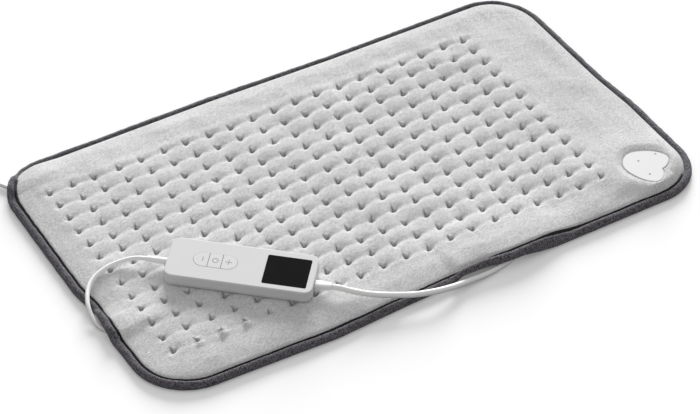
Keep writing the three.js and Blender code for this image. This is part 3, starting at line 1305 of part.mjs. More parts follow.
function addDisplay() {
  const windowBottom = CASE_HEIGHT - WINDOW_THICKNESS;
  place('display_window', plate(displayLoop(-SEAT_GAP), windowBottom, CASE_HEIGHT), blackGloss(), controller);
  const frameTop = Math.min(windowBottom, INNER_TOP) - SEAT_GAP;
  const frame = carve(
    plate(displayLoop(FRAME_MARGIN), frameTop - FRAME_THICKNESS, frameTop), [],
    [plate(displayLoop(-FRAME_BORDER), 0, CASE_HEIGHT)]);
  place('display_frame', frame, partBlack(), controller);
  const moduleTop = frameTop - FRAME_THICKNESS - SEAT_GAP;
  const moduleLoop = (grow) => roundedLoop(
    MODULE_SIZE[0] / 2 + grow, MODULE_SIZE[1] / 2 + grow,
    Array(4).fill(DISPLAY_CORNER + grow), SOCKET_STEPS)
    .map((p) => p.add(new THREE.Vector2(...MODULE_CENTRE)));
  const moduleBody = skin([
    level(moduleLoop(0), PART_SEAT), level(moduleLoop(0), moduleTop - MODULE_STEP),
    level(moduleLoop(-MODULE_STEP), moduleTop)]);
  place('display_module', moduleBody, partBlack(), controller);
}

function addKeys() {
  const left = KEYS_CENTRE[0] - KEYS_LENGTH / 2;
  const cuts = KEY_SPLIT_SHARES.map((share) => KEYS_CENTRE[0] + share * KEYS_LENGTH);
  const edges = [left, cuts[0], cuts[1], left + KEYS_LENGTH];
  const capTop = CASE_HEIGHT + KEY_PROUD;
  const capBottom = capTop - KEY_THICKNESS;
  const switchTop = PART_SEAT + SWITCH_SIZE[2];
  const plungerTop = switchTop + PLUNGER_PROUD;
  KEY_NAMES.forEach((name, i) => {
    const from = edges[i] + (i === 0 ? SEAT_GAP : KEY_GAP / 2);
    const to = edges[i + 1] - (i === KEY_NAMES.length - 1 ? SEAT_GAP : KEY_GAP / 2);
    const centre = [(from + to) / 2, KEYS_CENTRE[1]];
    const cap = plate(keyLoop(from, to, SEAT_GAP), capBottom, capTop);
    const stem = rod(KEY_STEM_RADIUS, plungerTop + SEAT_GAP, capBottom + KEY_THICKNESS / 2, centre, 10);
    const flangeTop = INNER_TOP - SEAT_GAP;
    const flange = block(
      [KEY_FLANGE_LENGTH, KEYS_WIDTH + KEY_FLANGE * 2, flangeTop - capBottom + KEY_FLANGE / 2],
      centre, capBottom - KEY_FLANGE / 2);
    place(`button_${name}`, carve(cap, [stem, flange], []), whitePlastic(), controller);
    const well = rod(PLUNGER_RADIUS + SEAT_GAP, switchTop - PLUNGER_WELL, switchTop + OVERRUN, centre, 12);
    place(`key_switch_${name}`, carve(
      block(SWITCH_SIZE, centre, PART_SEAT), [], [well]), partBlack(), controller);
    place(`switch_plunger_${name}`, rod(
      PLUNGER_RADIUS, plungerTop - PLUNGER_HEIGHT, plungerTop, centre, 12), whitePlastic(), controller);
  });
}

function addBoard() {
  const board = roundedLoop(BOARD_LENGTH / 2, BOARD_WIDTH / 2, Array(4).fill(CASE_WALL), 2);
  const notches = SCREW_PLACES.map((at) => rod(
    POST_RADIUS + SEAT_GAP, BOARD_HEIGHT - OVERRUN, BOARD_TOP + OVERRUN, at, 12));
  place('circuit_board', carve(
    plate(board, BOARD_HEIGHT, BOARD_TOP), [], notches), boardGreen(), controller);
  const tabCentre = [TRIAC_PLACE[0] + (TRIAC_SIZE[0] + TRIAC_TAB[0]) / 2 - SEAT_GAP, TRIAC_PLACE[1]];
  place('power_switch_triac', carve(
    block(TRIAC_SIZE, TRIAC_PLACE, PART_SEAT), [block(TRIAC_TAB, tabCentre, PART_SEAT)], []), partBlack(), controller);
  place('film_capacitor', block(FILM_CAPACITOR_SIZE, FILM_CAPACITOR_PLACE, PART_SEAT), yellowFilm(), controller);
  place('control_chip', block(CHIP_SIZE, CHIP_PLACE, PART_SEAT), partBlack(), controller);
  const lying = (size, at, bevel) => turned([
    [-size[1] / 2, size[0] - bevel], [-size[1] / 2 + bevel, size[0]],
    [size[1] / 2 - bevel, size[0]], [size[1] / 2, size[0] - bevel]], 12)
    .translate(at[0], at[1], PART_SEAT + size[0]);
  place('smoothing_capacitor', lying(
    SMOOTHING_CAPACITOR, SMOOTHING_CAPACITOR_PLACE, SEAT_GAP), partBlack(), controller);
  place('fuse', lying(FUSE_SIZE, FUSE_PLACE, SEAT_GAP), steel(), controller);
  const ends = [['mains', -1, MAINS_RELIEF_OFFSET], ['pad', 1, PAD_RELIEF_OFFSET]];
  for (const [name, side, offset] of ends) {
    const x = side * (BOARD_END - TERMINAL_INSET);
    place(`terminal_${name}`, block(TERMINAL_SIZE, [x, offset], PART_SEAT), whitePlastic(), controller);
    const inner = side * (CASE_LENGTH / 2 - CASE_WALL - SEAT_GAP - RELIEF_FLANGE_LENGTH - SEAT_GAP);
    const outer = x + side * (TERMINAL_SIZE[0] / 2 + SEAT_GAP);
    ['a', 'b'].forEach((letter, i) => {
      const y = offset + (i === 0 ? -1 : 1) * LEAD_SPREAD;
      const points = [
        [inner, offset + (y - offset) * LEAD_CLOSE_SHARE, RELIEF_HEIGHT],
        [(inner * 2 + outer) / 3, y, RELIEF_HEIGHT + LEAD_RADIUS],
        [(inner + outer * 2) / 3, y, RELIEF_HEIGHT + LEAD_RADIUS],
        [outer, y, PART_SEAT + TERMINAL_SIZE[2] / 2],
      ];
      place(`${name}_core_${letter}`, tube(vectors(points), LEAD_RADIUS, LEAD_SIDES, 6), wireRed(), controller);
    });
  }
}

function addReliefs() {
  const wallOut = CASE_LENGTH / 2;
  const inside = wallOut - CASE_WALL - SEAT_GAP;
  const mains = turned([
    [inside - RELIEF_FLANGE_LENGTH, RELIEF_FLANGE], [inside, RELIEF_FLANGE], [inside, RELIEF_NECK],
    [wallOut + SEAT_GAP, RELIEF_NECK], [wallOut + SEAT_GAP, MAINS_RELIEF_RADIUS],
    [wallOut + MAINS_RELIEF_LENGTH - RELIEF_TIP_LENGTH, MAINS_RELIEF_TIP + SEAT_GAP],
    [wallOut + MAINS_RELIEF_LENGTH, MAINS_RELIEF_TIP - SEAT_GAP],
  ], RELIEF_SIDES);
  mains.rotateZ(Math.PI).translate(0, MAINS_RELIEF_OFFSET, RELIEF_HEIGHT);
  place('mains_strain_relief', mains, whiteVinyl(), controller);

  const held = turned([
    [inside - RELIEF_FLANGE_LENGTH, RELIEF_FLANGE], [inside, RELIEF_FLANGE], [inside, RELIEF_NECK],
    [wallOut + RELIEF_TIP_LENGTH, RELIEF_NECK]], RELIEF_SIDES)
    .translate(0, PAD_RELIEF_OFFSET, RELIEF_HEIGHT);
  const section = (x, width, thickness) => roundedLoop(
    width / 2, thickness / 2, Array(4).fill(thickness * PAD_RELIEF_ROUND_SHARE), 3)
    .map((p) => new THREE.Vector3(x, p.x + PAD_RELIEF_OFFSET, p.y + RELIEF_HEIGHT));
  const start = wallOut + SEAT_GAP;
  const end = wallOut + PAD_RELIEF_LENGTH;
  const sections = [
    section(start, PAD_RELIEF_WIDTH, PAD_RELIEF_THICKNESS),
    section((start * 2 + end) / 3, PAD_RELIEF_WIDTH, PAD_RELIEF_THICKNESS),
    section(end - RELIEF_TIP_LENGTH, PAD_RELIEF_TIP_WIDTH, PAD_RELIEF_THICKNESS),
    section(end, PAD_RELIEF_TIP_WIDTH - RELIEF_TIP_LENGTH, PAD_RELIEF_THICKNESS - RELIEF_TIP_LENGTH),
  ];
  place('pad_strain_relief', carve(skinAlongX(sections), [held], []), whiteVinyl(), controller);
}

// Skins sections that stand square to X and run towards +X
function skinAlongX(sections) {
  const toFlat = (loop) => loop.map((p) => new THREE.Vector3(p.y, p.z, p.x));
  const geometry = skin(sections.map(toFlat));
  const position = geometry.attributes.position;
  for (let i = 0; i < position.count; i += 1) {
    position.setXYZ(i, position.getZ(i), position.getX(i), position.getY(i));
  }
  return geometry;
}

// Leads, coil and mains plug

function addLeads() {
  place('pad_lead', tube(
    vectors(padLeadRoute), PAD_LEAD_RADIUS, PAD_LEAD_SIDES, PAD_LEAD_STEPS), whiteVinyl());
  place('mains_lead', tube(
    vectors(mainsLeadRoute), MAINS_LEAD_RADIUS, MAINS_LEAD_SIDES, MAINS_LEAD_STEPS), whiteVinyl());
  place('mains_lead_coil', tube(
    coilPath, MAINS_LEAD_RADIUS, COIL_SIDES, coilPath.length - 1), whiteVinyl());
  place('mains_lead_tail', tube(
    vectors(tailRoute), MAINS_LEAD_RADIUS, MAINS_LEAD_SIDES, TAIL_STEPS), whiteVinyl());
  const lengths = [padLeadRoute, mainsLeadRoute, coilPath, tailRoute].map((route) => {
    const points = route.map((p) => (p.isVector3 ? p : new THREE.Vector3(...p)));
    return new THREE.CatmullRomCurve3(points).getLength();
  });
  console.log('lead lengths, mm: pad', lengths[0].toFixed(0),
    'mains', (lengths[1] + lengths[2] + lengths[3]).toFixed(0));
  console.log('least gap between the coil\'s turns, mm:', coilSelfGap().toFixed(2));
}

// Least distance between points of the coil that are more than a third of a turn apart,
// less the diameter
function coilSelfGap() {
  const fine = new THREE.CatmullRomCurve3(coilPath).getSpacedPoints(coilPath.length * 3);
  const apart = Math.round(COIL_LOOP_STEPS);
  let least = Infinity;
  for (let i = 0; i < fine.length; i += 1) {
    for (let j = i + apart; j < fine.length; j += 1) {
      least = Math.min(least, fine[i].distanceTo(fine[j]));
    }
  }
  return least - MAINS_LEAD_DIAMETER;
}

function addTie() {
  const inner = COIL_MIDDLE_RADIUS - COIL_TURNS * COIL_PITCH / 2 - COIL_PITCH / 4 - MAINS_LEAD_RADIUS;
  const outer = COIL_MIDDLE_RADIUS + COIL_TURNS * COIL_PITCH / 2 + COIL_PITCH / 4 + MAINS_LEAD_RADIUS;
  const height = COIL_LAYERS * COIL_PITCH - COIL_GAP;
  const angle = THREE.MathUtils.degToRad(TIE_ANGLE_DEG);
  const halfWidth = (outer - inner) / 2 + SEAT_GAP + COIL_GAP;
  const halfHeight = height / 2 + SEAT_GAP;
  const loop = (grow) => roundedLoop(
    halfWidth + grow, halfHeight + grow, Array(4).fill(TIE_CORNER + grow), 3);
  const shape = (grow, y) => loop(grow).map((p) => new THREE.Vector3(p.x, y, p.y));
  const band = skin([
    shape(0, -TIE_WIDTH / 2), shape(TIE_WALL, -TIE_WIDTH / 2),
    shape(TIE_WALL, TIE_WIDTH / 2), shape(0, TIE_WIDTH / 2)], true);
  band.translate((inner + outer) / 2, 0, halfHeight + TIE_WALL);
  band.rotateZ(angle);
  band.translate(COIL_CENTRE[0], COIL_CENTRE[1], 0);
  place('coil_tie', flippedIfInside(band), partBlack());
}

// A closed skin whose volume comes out negative is turned inside out
function flippedIfInside(geometry) {
  const index = geometry.index.array;
  const position = geometry.attributes.position;
  const corner = [new THREE.Vector3(), new THREE.Vector3(), new THREE.Vector3()];
  let volume = 0;
  for (let i = 0; i < index.length; i += 3) {
    corner.forEach((p, k) => p.fromBufferAttribute(position, index[i + k]));
    volume += corner[0].dot(corner[1].clone().cross(corner[2]));
  }
  if (volume < 0) {
    for (let i = 0; i < index.length; i += 3) {
      [index[i + 1], index[i + 2]] = [index[i + 2], index[i + 1]];
    }
  }
  return geometry;
}

function addMainsPlug() {
  const plug = new THREE.Group();
  plug.position.copy(plugStart);
  plug.rotation.z = MAINS_PLUG_TURN;
  part.add(plug);
  const section = (x, width, thickness) => roundedLoop(
    width / 2, thickness / 2, Array(4).fill(Math.min(MAINS_PLUG_CORNER, thickness / 3)), 3)
    .map((p) => new THREE.Vector3(x, p.x, p.y));
  const sleeveEnd = MAINS_SLEEVE_LENGTH;
  const start = sleeveEnd + SEAT_GAP;
  const end = start + MAINS_PLUG_LENGTH;
  const width = MAINS_PLUG_WIDTH;
  const thick = MAINS_PLUG_THICKNESS;
  const body = skinAlongX([
    section(start, MAINS_PLUG_NECK_WIDTH, MAINS_PLUG_NECK_THICKNESS),
    section(start + MAINS_PLUG_LENGTH * PLUG_TAPER_SHARES[0], MAINS_PLUG_NECK_WIDTH * PLUG_NECK_SWELL_SHARE, thick),
    section(start + MAINS_PLUG_LENGTH * PLUG_TAPER_SHARES[1], width, thick),
    section(end - SEAT_GAP, width, thick),
    section(end, width - SEAT_GAP * 2, thick - SEAT_GAP * 2),
  ]);
  const pinStart = end - PLUG_PIN_HOLD;
  const spots = [-1, 1].map((side) => side * PLUG_PIN_PITCH / 2);
  const bores = spots.map((y) => turned([
    [pinStart - SEAT_GAP, PLUG_PIN_RADIUS + SEAT_GAP], [end + OVERRUN, PLUG_PIN_RADIUS + SEAT_GAP],
  ], PLUG_PIN_SIDES).translate(0, y, 0));
  place('mains_plug', carve(body, [], bores), whitePlastic(), plug);
  spots.forEach((y, i) => {
    place(`mains_plug_pin_${i + 1}`, turned([
      [pinStart, PLUG_PIN_RADIUS], [end + PLUG_PIN_LENGTH - PLUG_PIN_RADIUS / 2, PLUG_PIN_RADIUS],
      [end + PLUG_PIN_LENGTH, PLUG_PIN_RADIUS / 2]], PLUG_PIN_SIDES)
      .translate(0, y, 0), brass(), plug);
  });
  place('mains_plug_sleeve', turned([
    [0, MAINS_LEAD_RADIUS], [SEAT_GAP, MAINS_LEAD_RADIUS + SEAT_GAP],
    [MAINS_SLEEVE_LENGTH, MAINS_SLEEVE_RADIUS]], RELIEF_SIDES), whiteVinyl(), plug);
}

part.add(controller);
addPad();
addConnector();
addCase();
addDisplay();
addKeys();
addBoard();
addReliefs();
addLeads();
addTie();
addMainsPlug();
part.updateMatrixWorld(true);

export default part;
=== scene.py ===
# %% [markdown]
# A heating pad lies flat on a table, with its hand controller on top. The imported CAD model is the fixed
# frame of this scene: every piece below goes where the CAD says, in metres, so nothing is fitted by eye.

# %% Load the frame
import json
import math

import bmesh
import bpy
import numpy as np
from mathutils import Matrix, Vector
from mathutils.geometry import delaunay_2d_cdt


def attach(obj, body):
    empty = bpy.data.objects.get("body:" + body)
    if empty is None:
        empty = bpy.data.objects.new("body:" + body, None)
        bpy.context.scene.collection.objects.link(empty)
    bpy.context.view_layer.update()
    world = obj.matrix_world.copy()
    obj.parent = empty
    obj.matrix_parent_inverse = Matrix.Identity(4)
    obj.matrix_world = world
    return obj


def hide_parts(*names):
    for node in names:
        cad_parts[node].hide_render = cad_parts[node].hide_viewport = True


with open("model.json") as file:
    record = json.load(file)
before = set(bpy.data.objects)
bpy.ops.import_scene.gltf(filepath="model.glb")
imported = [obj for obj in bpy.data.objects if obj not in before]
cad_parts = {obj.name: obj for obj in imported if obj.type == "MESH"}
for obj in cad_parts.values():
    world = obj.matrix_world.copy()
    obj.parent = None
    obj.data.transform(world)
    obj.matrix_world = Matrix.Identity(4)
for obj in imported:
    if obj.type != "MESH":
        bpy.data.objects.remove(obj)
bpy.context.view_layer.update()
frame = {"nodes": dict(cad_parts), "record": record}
MM = 0.001


def placed(name, data):
    piece = bpy.data.objects.new(name, data)
    bpy.context.scene.collection.objects.link(piece)
    return piece


# %% [markdown]
# The camera stands where the photographer's did: beyond the left front corner, looking down by some
# forty degrees, far off with a long lens, which keeps the pad's far edge almost as long as its near
# one. Its place was worked out from the regular grid of tufts.

# %% Camera
CAMERA_PLACE = Vector((-1.12027, -1.70863, 1.82464))
CAMERA_RIGHT = Vector((0.85093, -0.52442, 0.02996))
CAMERA_AHEAD = Vector((0.40537, 0.61934, -0.67238))
SENSOR_WIDTH = 36.0
LENS = 146.25

camera_data = bpy.data.cameras.new("camera")
camera_data.sensor_fit = "HORIZONTAL"
camera_data.sensor_width = SENSOR_WIDTH
camera_data.lens = LENS
camera_data.clip_start = 0.05
camera = placed("camera", camera_data)
camera_up = CAMERA_RIGHT.cross(CAMERA_AHEAD)
camera.matrix_world = Matrix.Translation(CAMERA_PLACE) @ Matrix(
    (CAMERA_RIGHT, camera_up, -CAMERA_AHEAD)).transposed().to_4x4()
bpy.context.scene.camera = camera
print("camera looks down by", round(math.degrees(math.asin(-CAMERA_AHEAD.normalized().z)), 1), "degrees")

# %% [markdown]
# Every finish starts from a colour written as on a paint card. Blender's shaders want linear light
# values, so one function turns a hex colour to linear, and one adds a node with its settings and
# links. The finishes below are all built from these two.

# %% Colour and node helpers


def linear(hex_colour):
    parts = [int(hex_colour[i:i + 2], 16) / 255 for i in (1, 3, 5)]
    return [p / 12.92 if p <= 0.04045 else ((p + 0.055) / 1.055) ** 2.4 for p in parts] + [1.0]


def add_node(tree, kind, settings=None, inputs=None, links=None):
    node = tree.nodes.new(kind)
    for name, value in (settings or {}).items():
        setattr(node, name, value)
    for name, value in (inputs or {}).items():
        node.inputs[name].default_value = value
    for name, source in (links or {}).items():
        tree.links.new(source, node.inputs[name])
    return node


def new_finish(name, hex_colour, roughness, **sockets):
    finish = bpy.data.materials.new(name)
    finish.use_nodes = True
    shader = finish.node_tree.nodes["Principled BSDF"]
    shader.inputs["Base Color"].default_value = linear(hex_colour)
    shader.inputs["Roughness"].default_value = roughness
    for socket, value in sockets.items():
        shader.inputs[socket.replace("_", " ")].default_value = value
    finish.diffuse_color = linear(hex_colour)
    return finish, finish.node_tree, shader


# %% [markdown]
# Moulded ABS plastic, as on the controller, leaves its tool with a fine matt texture, about half a
# millimetre across. It is drawn as shallow bumps that break the highlight up, and slow clouds make
# the gloss a little uneven, as handling does.

# %% Moulded plastics and vinyl
CLOUDS_PER_METRE = 60.0
GLOSS_WANDER = 0.04


def moulded(name, hex_colour, roughness, grain_mm, depth_mm, **sockets):
    finish, tree, shader = new_finish(name, hex_colour, roughness, **sockets)
    place = add_node(tree, "ShaderNodeTexCoord").outputs["Object"]
    grain = add_node(tree, "ShaderNodeTexNoise", inputs={"Scale": 1000 / grain_mm, "Detail": 2.0},
                     links={"Vector": place})
    bump = add_node(tree, "ShaderNodeBump", inputs={"Strength": 1.0, "Distance": depth_mm * MM},
                    links={"Height": grain.outputs["Fac"]})
    tree.links.new(bump.outputs["Normal"], shader.inputs["Normal"])
    cloud = add_node(tree, "ShaderNodeTexNoise", inputs={"Scale": CLOUDS_PER_METRE, "Detail": 1.0},
                     links={"Vector": place})
    spread = add_node(tree, "ShaderNodeMapRange", inputs={
        "To Min": roughness - GLOSS_WANDER, "To Max": roughness + GLOSS_WANDER},
        links={"Value": cloud.outputs["Fac"]})
    tree.links.new(spread.outputs["Result"], shader.inputs["Roughness"])
    return finish


white_abs = moulded("white_textured_ABS", "#CFCFCF", 0.6, 0.45, 0.03, Specular_IOR_Level=0.15)
key_abs = moulded("white_key_ABS", "#D1D1D1", 0.58, 0.5, 0.02, Specular_IOR_Level=0.15)
plate_abs = moulded("white_polished_ABS", "#E4E4E4", 0.6, 0.9, 0.015, Specular_IOR_Level=0.08)
white_vinyl = moulded("white_soft_PVC", "#F0F0EF", 0.45, 0.8, 0.02, Specular_IOR_Level=0.35)
black_abs = moulded("black_ABS", "#232325", 0.45, 0.4, 0.03)
print("plastics ready")

# %% [markdown]
# The leads are round PVC hoses over copper. A free lead is one open curve with a round bevel, laid
# along the same points as in the CAD: out of its strain relief, down over the plush, over the edge
# and back under the pad. The stored length is wound in one small coil of four layers beyond the far
# corner, as it comes out of the box, because the pad has to fit on a shelf.

# %% Routes of the leads, in millimetres
CASE_PLACE = (-163.0, -68.6, 11.7)
CASE_TURN = math.radians(-41)
CASE_HALF = 69.25
PAD_RELIEF, MAINS_RELIEF = 16.6, 20
RELIEF_HEIGHT = 6.5
SEAT = 0.3
PAD_DIAMETER, MAINS_DIAMETER = 5.9, 4.2


def on_pad(along, across, height):
    return (CASE_PLACE[0] + along * math.cos(CASE_TURN) - across * math.sin(CASE_TURN),
            CASE_PLACE[1] + along * math.sin(CASE_TURN) + across * math.cos(CASE_TURN),
            CASE_PLACE[2] + height)


pad_route = [on_pad(CASE_HALF + PAD_RELIEF + SEAT, -6, RELIEF_HEIGHT)] + [
    (-97.6, -133.3, 18.2), (-89.6, -141.3, 17.2), (-75.6, -152.2, 15.4), (-54.9, -163.4, 13.6),
    (-38.5, -170.6, 12.5), (-22, -175.3, 11.9), (-7.9, -176.3, 9.8), (6.7, -175.6, 7.2),
    (21.7, -174.2, 5.2), (36, -173.4, 3.9), (49, -171.9, 3.3), (62, -169.3, 3.1),
    (85, -164.2, 3.1), (110, -157.8, 3.1), (138, -150.8, 3.1), (162, -145, 3.2),
    (180, -139.6, 3.6), (190, -137.7, 3.8), (192.8, -137.5, 3.8), (198.7, -137.5, 3.8)]
PAD_LEAD_UNDER = 9  # the first point that lifts the pad
mains_route = [on_pad(-CASE_HALF - MAINS_RELIEF - SEAT, -2, RELIEF_HEIGHT)] + [
    (-235.5, -8.3, 18.1), (-241.6, -4.2, 17.3), (-255.3, -0.1, 15.3), (-271.2, -0.6, 13.7),
    (-284.6, -5.6, 12.1), (-294, -14.6, 11.4), (-300.6, -25.4, 11), (-304.2, -34.2, 9.8),
    (-305.6, -42, 7), (-305.5, -49.5, 4.4), (-303, -57.5, 2.6), (-298, -65.5, 2.4),
    (-289.5, -71.5, 2.4), (-279, -73, 2.4), (-269.5, -68, 2.4), (-263.5, -58, 2.4),
    (-262, -45, 2.4), (-265, -30, 2.4), (-271, -8, 2.4), (-276.5, 20, 2.4),
    (-279, 50, 2.4), (-279, 85, 2.4), (-279.8, 115, 2.4), (-283.5, 138, 2.4),
    (-292, 157, 2.6), (-303, 173, 3), (-314, 188, 3.3)]
MAINS_LEAD_UNDER = 10
tail_route = [
    (-333.4, 211.6, 17.4), (-337.4, 220, 15.8), (-339.4, 229, 12.4), (-339, 238, 9.2),
    (-336.2, 245, 7.3)]
plug_turn = math.radians(58.4)
PLUG_START = (-332.0, 250.8, 6.85)
print("points in the routes:", len(pad_route), "and", len(mains_route))

# %% [markdown]
# The coil's turns spiral in and out layer by layer and climb in the half turn where they reverse,
# so no turn lies in another. The rule is the CAD's own, written again here.

# %% The coil's path
TIE_WALL = 1
COIL_CENTRE = (-348.9, 185.1)
COIL_MIDDLE = 25.2
COIL_TURNS = 2
COIL_LAYERS = 4
COIL_PITCH = MAINS_DIAMETER + 0.5  # half a millimetre of air between turns
COIL_START = math.radians(36.87)
COIL_STEPS = 24
REVERSAL = 0.5  # turns in which the coil climbs and reverses
LAST_TURNS = 1.5


def coil_point(turns):
    """The middle of the hose after so many turns."""
    left, radius = turns, COIL_MIDDLE + COIL_TURNS * COIL_PITCH / 2
    height = TIE_WALL + SEAT + MAINS_DIAMETER / 2
    for layer in range(COIL_LAYERS):
        inward = -1 if layer % 2 == 0 else 1
        run = min(left, COIL_TURNS)
        radius += inward * run * COIL_PITCH
        left -= run
        climb = min(left, REVERSAL)
        radius += inward * min(climb, REVERSAL - climb) * COIL_PITCH
        height += climb / REVERSAL * COIL_PITCH
        left -= climb
    angle = COIL_START + turns * math.tau
    return (COIL_CENTRE[0] + radius * math.cos(angle), COIL_CENTRE[1] + radius * math.sin(angle), height)


def straight_end(point, angle, reach):
    return (point[0] - math.sin(angle) * reach, point[1] + math.cos(angle) * reach, point[2])


total_turns = (COIL_LAYERS - 1) * (COIL_TURNS + REVERSAL) + LAST_TURNS
coil_count = round(total_turns * COIL_STEPS)
coil_path = [coil_point(i / COIL_STEPS) for i in range(coil_count + 1)]
coil_path = [straight_end(coil_path[0], COIL_START + math.pi, MAINS_DIAMETER)] + coil_path + [
    straight_end(coil_path[-1], COIL_START + total_turns * math.tau, MAINS_DIAMETER)]
plug_entry = (PLUG_START[0] - SEAT * math.cos(plug_turn), PLUG_START[1] - SEAT * math.sin(plug_turn),
              PLUG_START[2])
whole_mains_route = mains_route + coil_path + tail_route + [plug_entry]
print("turns in the coil:", total_turns)

# %% [markdown]
# One curve can be a whole hose: a spline passes through every point with automatic handles, so it
# bends as softly as the rubber does, and the bevel gives it its thickness and closed ends.

# %% A lead as one smooth curve


def lead(name, route, diameter, finish):
    curve = bpy.data.curves.new(name, "CURVE")
    curve.dimensions = "3D"
    curve.bevel_depth = diameter / 2 * MM
    curve.bevel_resolution = 4
    curve.use_fill_caps = True
    curve.resolution_u = 6
    spline = curve.splines.new("BEZIER")
    spline.bezier_points.add(len(route) - 1)
    for point, place in zip(spline.bezier_points, route):
        point.co = Vector(place) * MM
        point.handle_left_type = point.handle_right_type = "AUTO"
    curve.materials.append(finish)
    piece = placed(name, curve)
    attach(piece, "base")
    length = sum((Vector(a) - Vector(b)).length for a, b in zip(route, route[1:])) * MM
    print(name, "is about", round(length, 3), "m long")
    return piece, length


pad_lead, pad_length = lead("pad_lead_hose", pad_route, PAD_DIAMETER, white_vinyl)
mains_lead, mains_length = lead("mains_lead_hose", whole_mains_route, MAINS_DIAMETER, white_vinyl)
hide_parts("pad_lead")
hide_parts("mains_lead", "mains_lead_coil", "mains_lead_tail")

# %% [markdown]
# The pad's outline is a rounded rectangle that nobody cut with a ruler: each corner has its own
# radius, and the sewn edge wanders in and out by up to 7 mm, most where a lead lifts it. Each side
# has a short list of places with the tuck there. A tuck fades out 50 mm inside the edge, so the
# plush, the lower cover and the binding all follow the same line.

# %% Outline of the pad
HALF_LENGTH, HALF_WIDTH = 305.0, 175.5
CORNERS = ((1, 1, 62.0), (-1, 1, 53.0), (-1, -1, 60.0), (1, -1, 55.0))
TUCK = 6.8
TUCK_FADE = 50.0
TUCKS = {
    "right": ((-120.5, 0.09), (-42, 0.04), (7, 0.74), (113.5, 0.91)),
    "back": ((-252, 0.22), (-61, 0.07), (73.2, 0.59), (243, 0.51)),
    "left": ((-115.5, 0.15), (-70.2, 0.04), (-49.1, 0.35), (-33, 0.66), (-7, 0), (122.5, 0.37)),
    "front": ((-245, 0.66), (-201.3, 0.44), (-122, 0), (-48.8, 0.6), (14, 1), (42.1, 0.81),
              (65.9, 0.22), (250, 0.37))}
TUCK_STEP = 2.0
table_places = np.arange(-330, 331, TUCK_STEP)


def softened(knots, reach=5):
    """A side's tucks at every table place, with the kinks at the listed places rounded."""
    values = np.interp(table_places, *zip(*knots))
    weights = np.hanning(2 * reach + 3)[1:-1]
    return TUCK * np.convolve(np.pad(values, reach, mode="edge"), weights / weights.sum(), mode="valid")


tuck_tables = {side: softened(knots) for side, knots in TUCKS.items()}


def tucked(x, y):
    """The plain outline's places, drawn in where the real edge is."""
    moved = {}
    for side, gap, along in (("right", HALF_LENGTH - x, y), ("left", HALF_LENGTH + x, y),
                             ("back", HALF_WIDTH - y, x), ("front", HALF_WIDTH + y, x)):
        near = np.clip(1 - gap / TUCK_FADE, 0, 1)
        moved[side] = near * np.interp(along, table_places, tuck_tables[side])
    return x + moved["left"] - moved["right"], y + moved["front"] - moved["back"]


def ease(value, low, high):
    share = np.clip((value - low) / (high - low), 0, 1)
    return share * share * (3 - 2 * share)


print("deepest tuck of each side:", {side: round(float(t.max()), 1) for side, t in tuck_tables.items()})

# %% [markdown]
# The plain outline is walked once round, and each of its places knows which way is inwards. The same
# corners tell how far inside the edge any place lies, which every soft piece below starts from.

# %% Once round the plain outline


def plain_outline(side_steps=230, corner_steps=60):
    """Places round the untucked pad, anticlockwise from the right back, with inward directions."""
    xs, ys, turns = [], [], []
    for quarter, (side_x, side_y, radius) in enumerate(CORNERS):
        angles = (quarter + np.linspace(0, 1, corner_steps)) * math.pi / 2
        xs.append(side_x * (HALF_LENGTH - radius) + radius * np.cos(angles))
        ys.append(side_y * (HALF_WIDTH - radius) + radius * np.sin(angles))
        turns.append(angles)
        next_x, next_y, next_radius = CORNERS[(quarter + 1) % 4]
        angle = (quarter + 1) * math.pi / 2
        end = (next_x * (HALF_LENGTH - next_radius) + next_radius * math.cos(angle),
               next_y * (HALF_WIDTH - next_radius) + next_radius * math.sin(angle))
        share = np.linspace(0, 1, side_steps + 2)[1:-1]
        xs.append(xs[-1][-1] + (end[0] - xs[-1][-1]) * share)
        ys.append(ys[-1][-1] + (end[1] - ys[-1][-1]) * share)
        turns.append(np.full(side_steps, angle))
    turns = np.concatenate(turns)
    return np.concatenate(xs), np.concatenate(ys), -np.cos(turns), -np.sin(turns)


def inset_of(x, y):
    """How far a place lies inside the plain rounded outline, in millimetres."""
    depth = np.minimum(HALF_LENGTH - np.abs(x), HALF_WIDTH - np.abs(y))
    for side_x, side_y, radius in CORNERS:
        cx, cy = side_x * (HALF_LENGTH - radius), side_y * (HALF_WIDTH - radius)
        beyond = ((x - cx) * side_x > 0) & ((y - cy) * side_y > 0)
        depth = np.where(beyond, radius - np.hypot(x - cx, y - cy), depth)
    return depth


edge_x, edge_y, inward_x, inward_y = plain_outline()
print("outline points:", len(edge_x))

# %% [markdown]
# The tape was folded round the edge by hand and rolled a little while it was sewn, so more of it lies
# on top along the right and the front than along the left and the back.

# %% How far the tape folds in
FOLD_SHARES = {"right": 1.08, "back": 0.92, "left": 0.95, "front": 1.0}
BLEND_REACH = 14  # the smaller it is, the more the nearest side decides


def by_side(values, x, y):
    """A blend of four values, one per side, that leans to the nearest side."""
    gaps = np.stack([HALF_LENGTH - x, HALF_WIDTH - y, HALF_LENGTH + x, HALF_WIDTH + y])
    weights = 1 / (np.clip(gaps, 0, None) + BLEND_REACH) ** 4
    sides = np.array([values[side] for side in FOLD_SHARES]).reshape(4, *([1] * (gaps.ndim - 1)))
    return (weights * sides).sum(0) / weights.sum(0)


def fold_share(x, y):
    return by_side(FOLD_SHARES, x, y)


print("fold shares at the back and the front:", fold_share(np.array([0.0]), np.array([175.0])),
      fold_share(np.array([0.0]), np.array([-175.0])))

# %% [markdown]
# Where a lead or the connector's plug lies under the pad, the lower cover and the edge rise over it
# and fall back within a few centimetres. The soft filling takes most of that rise up, so the plush
# on top only swells where the lead would come too near it.

# %% How far the pad lifts off the table
BINDING = 11.0  # how far the tape reaches in


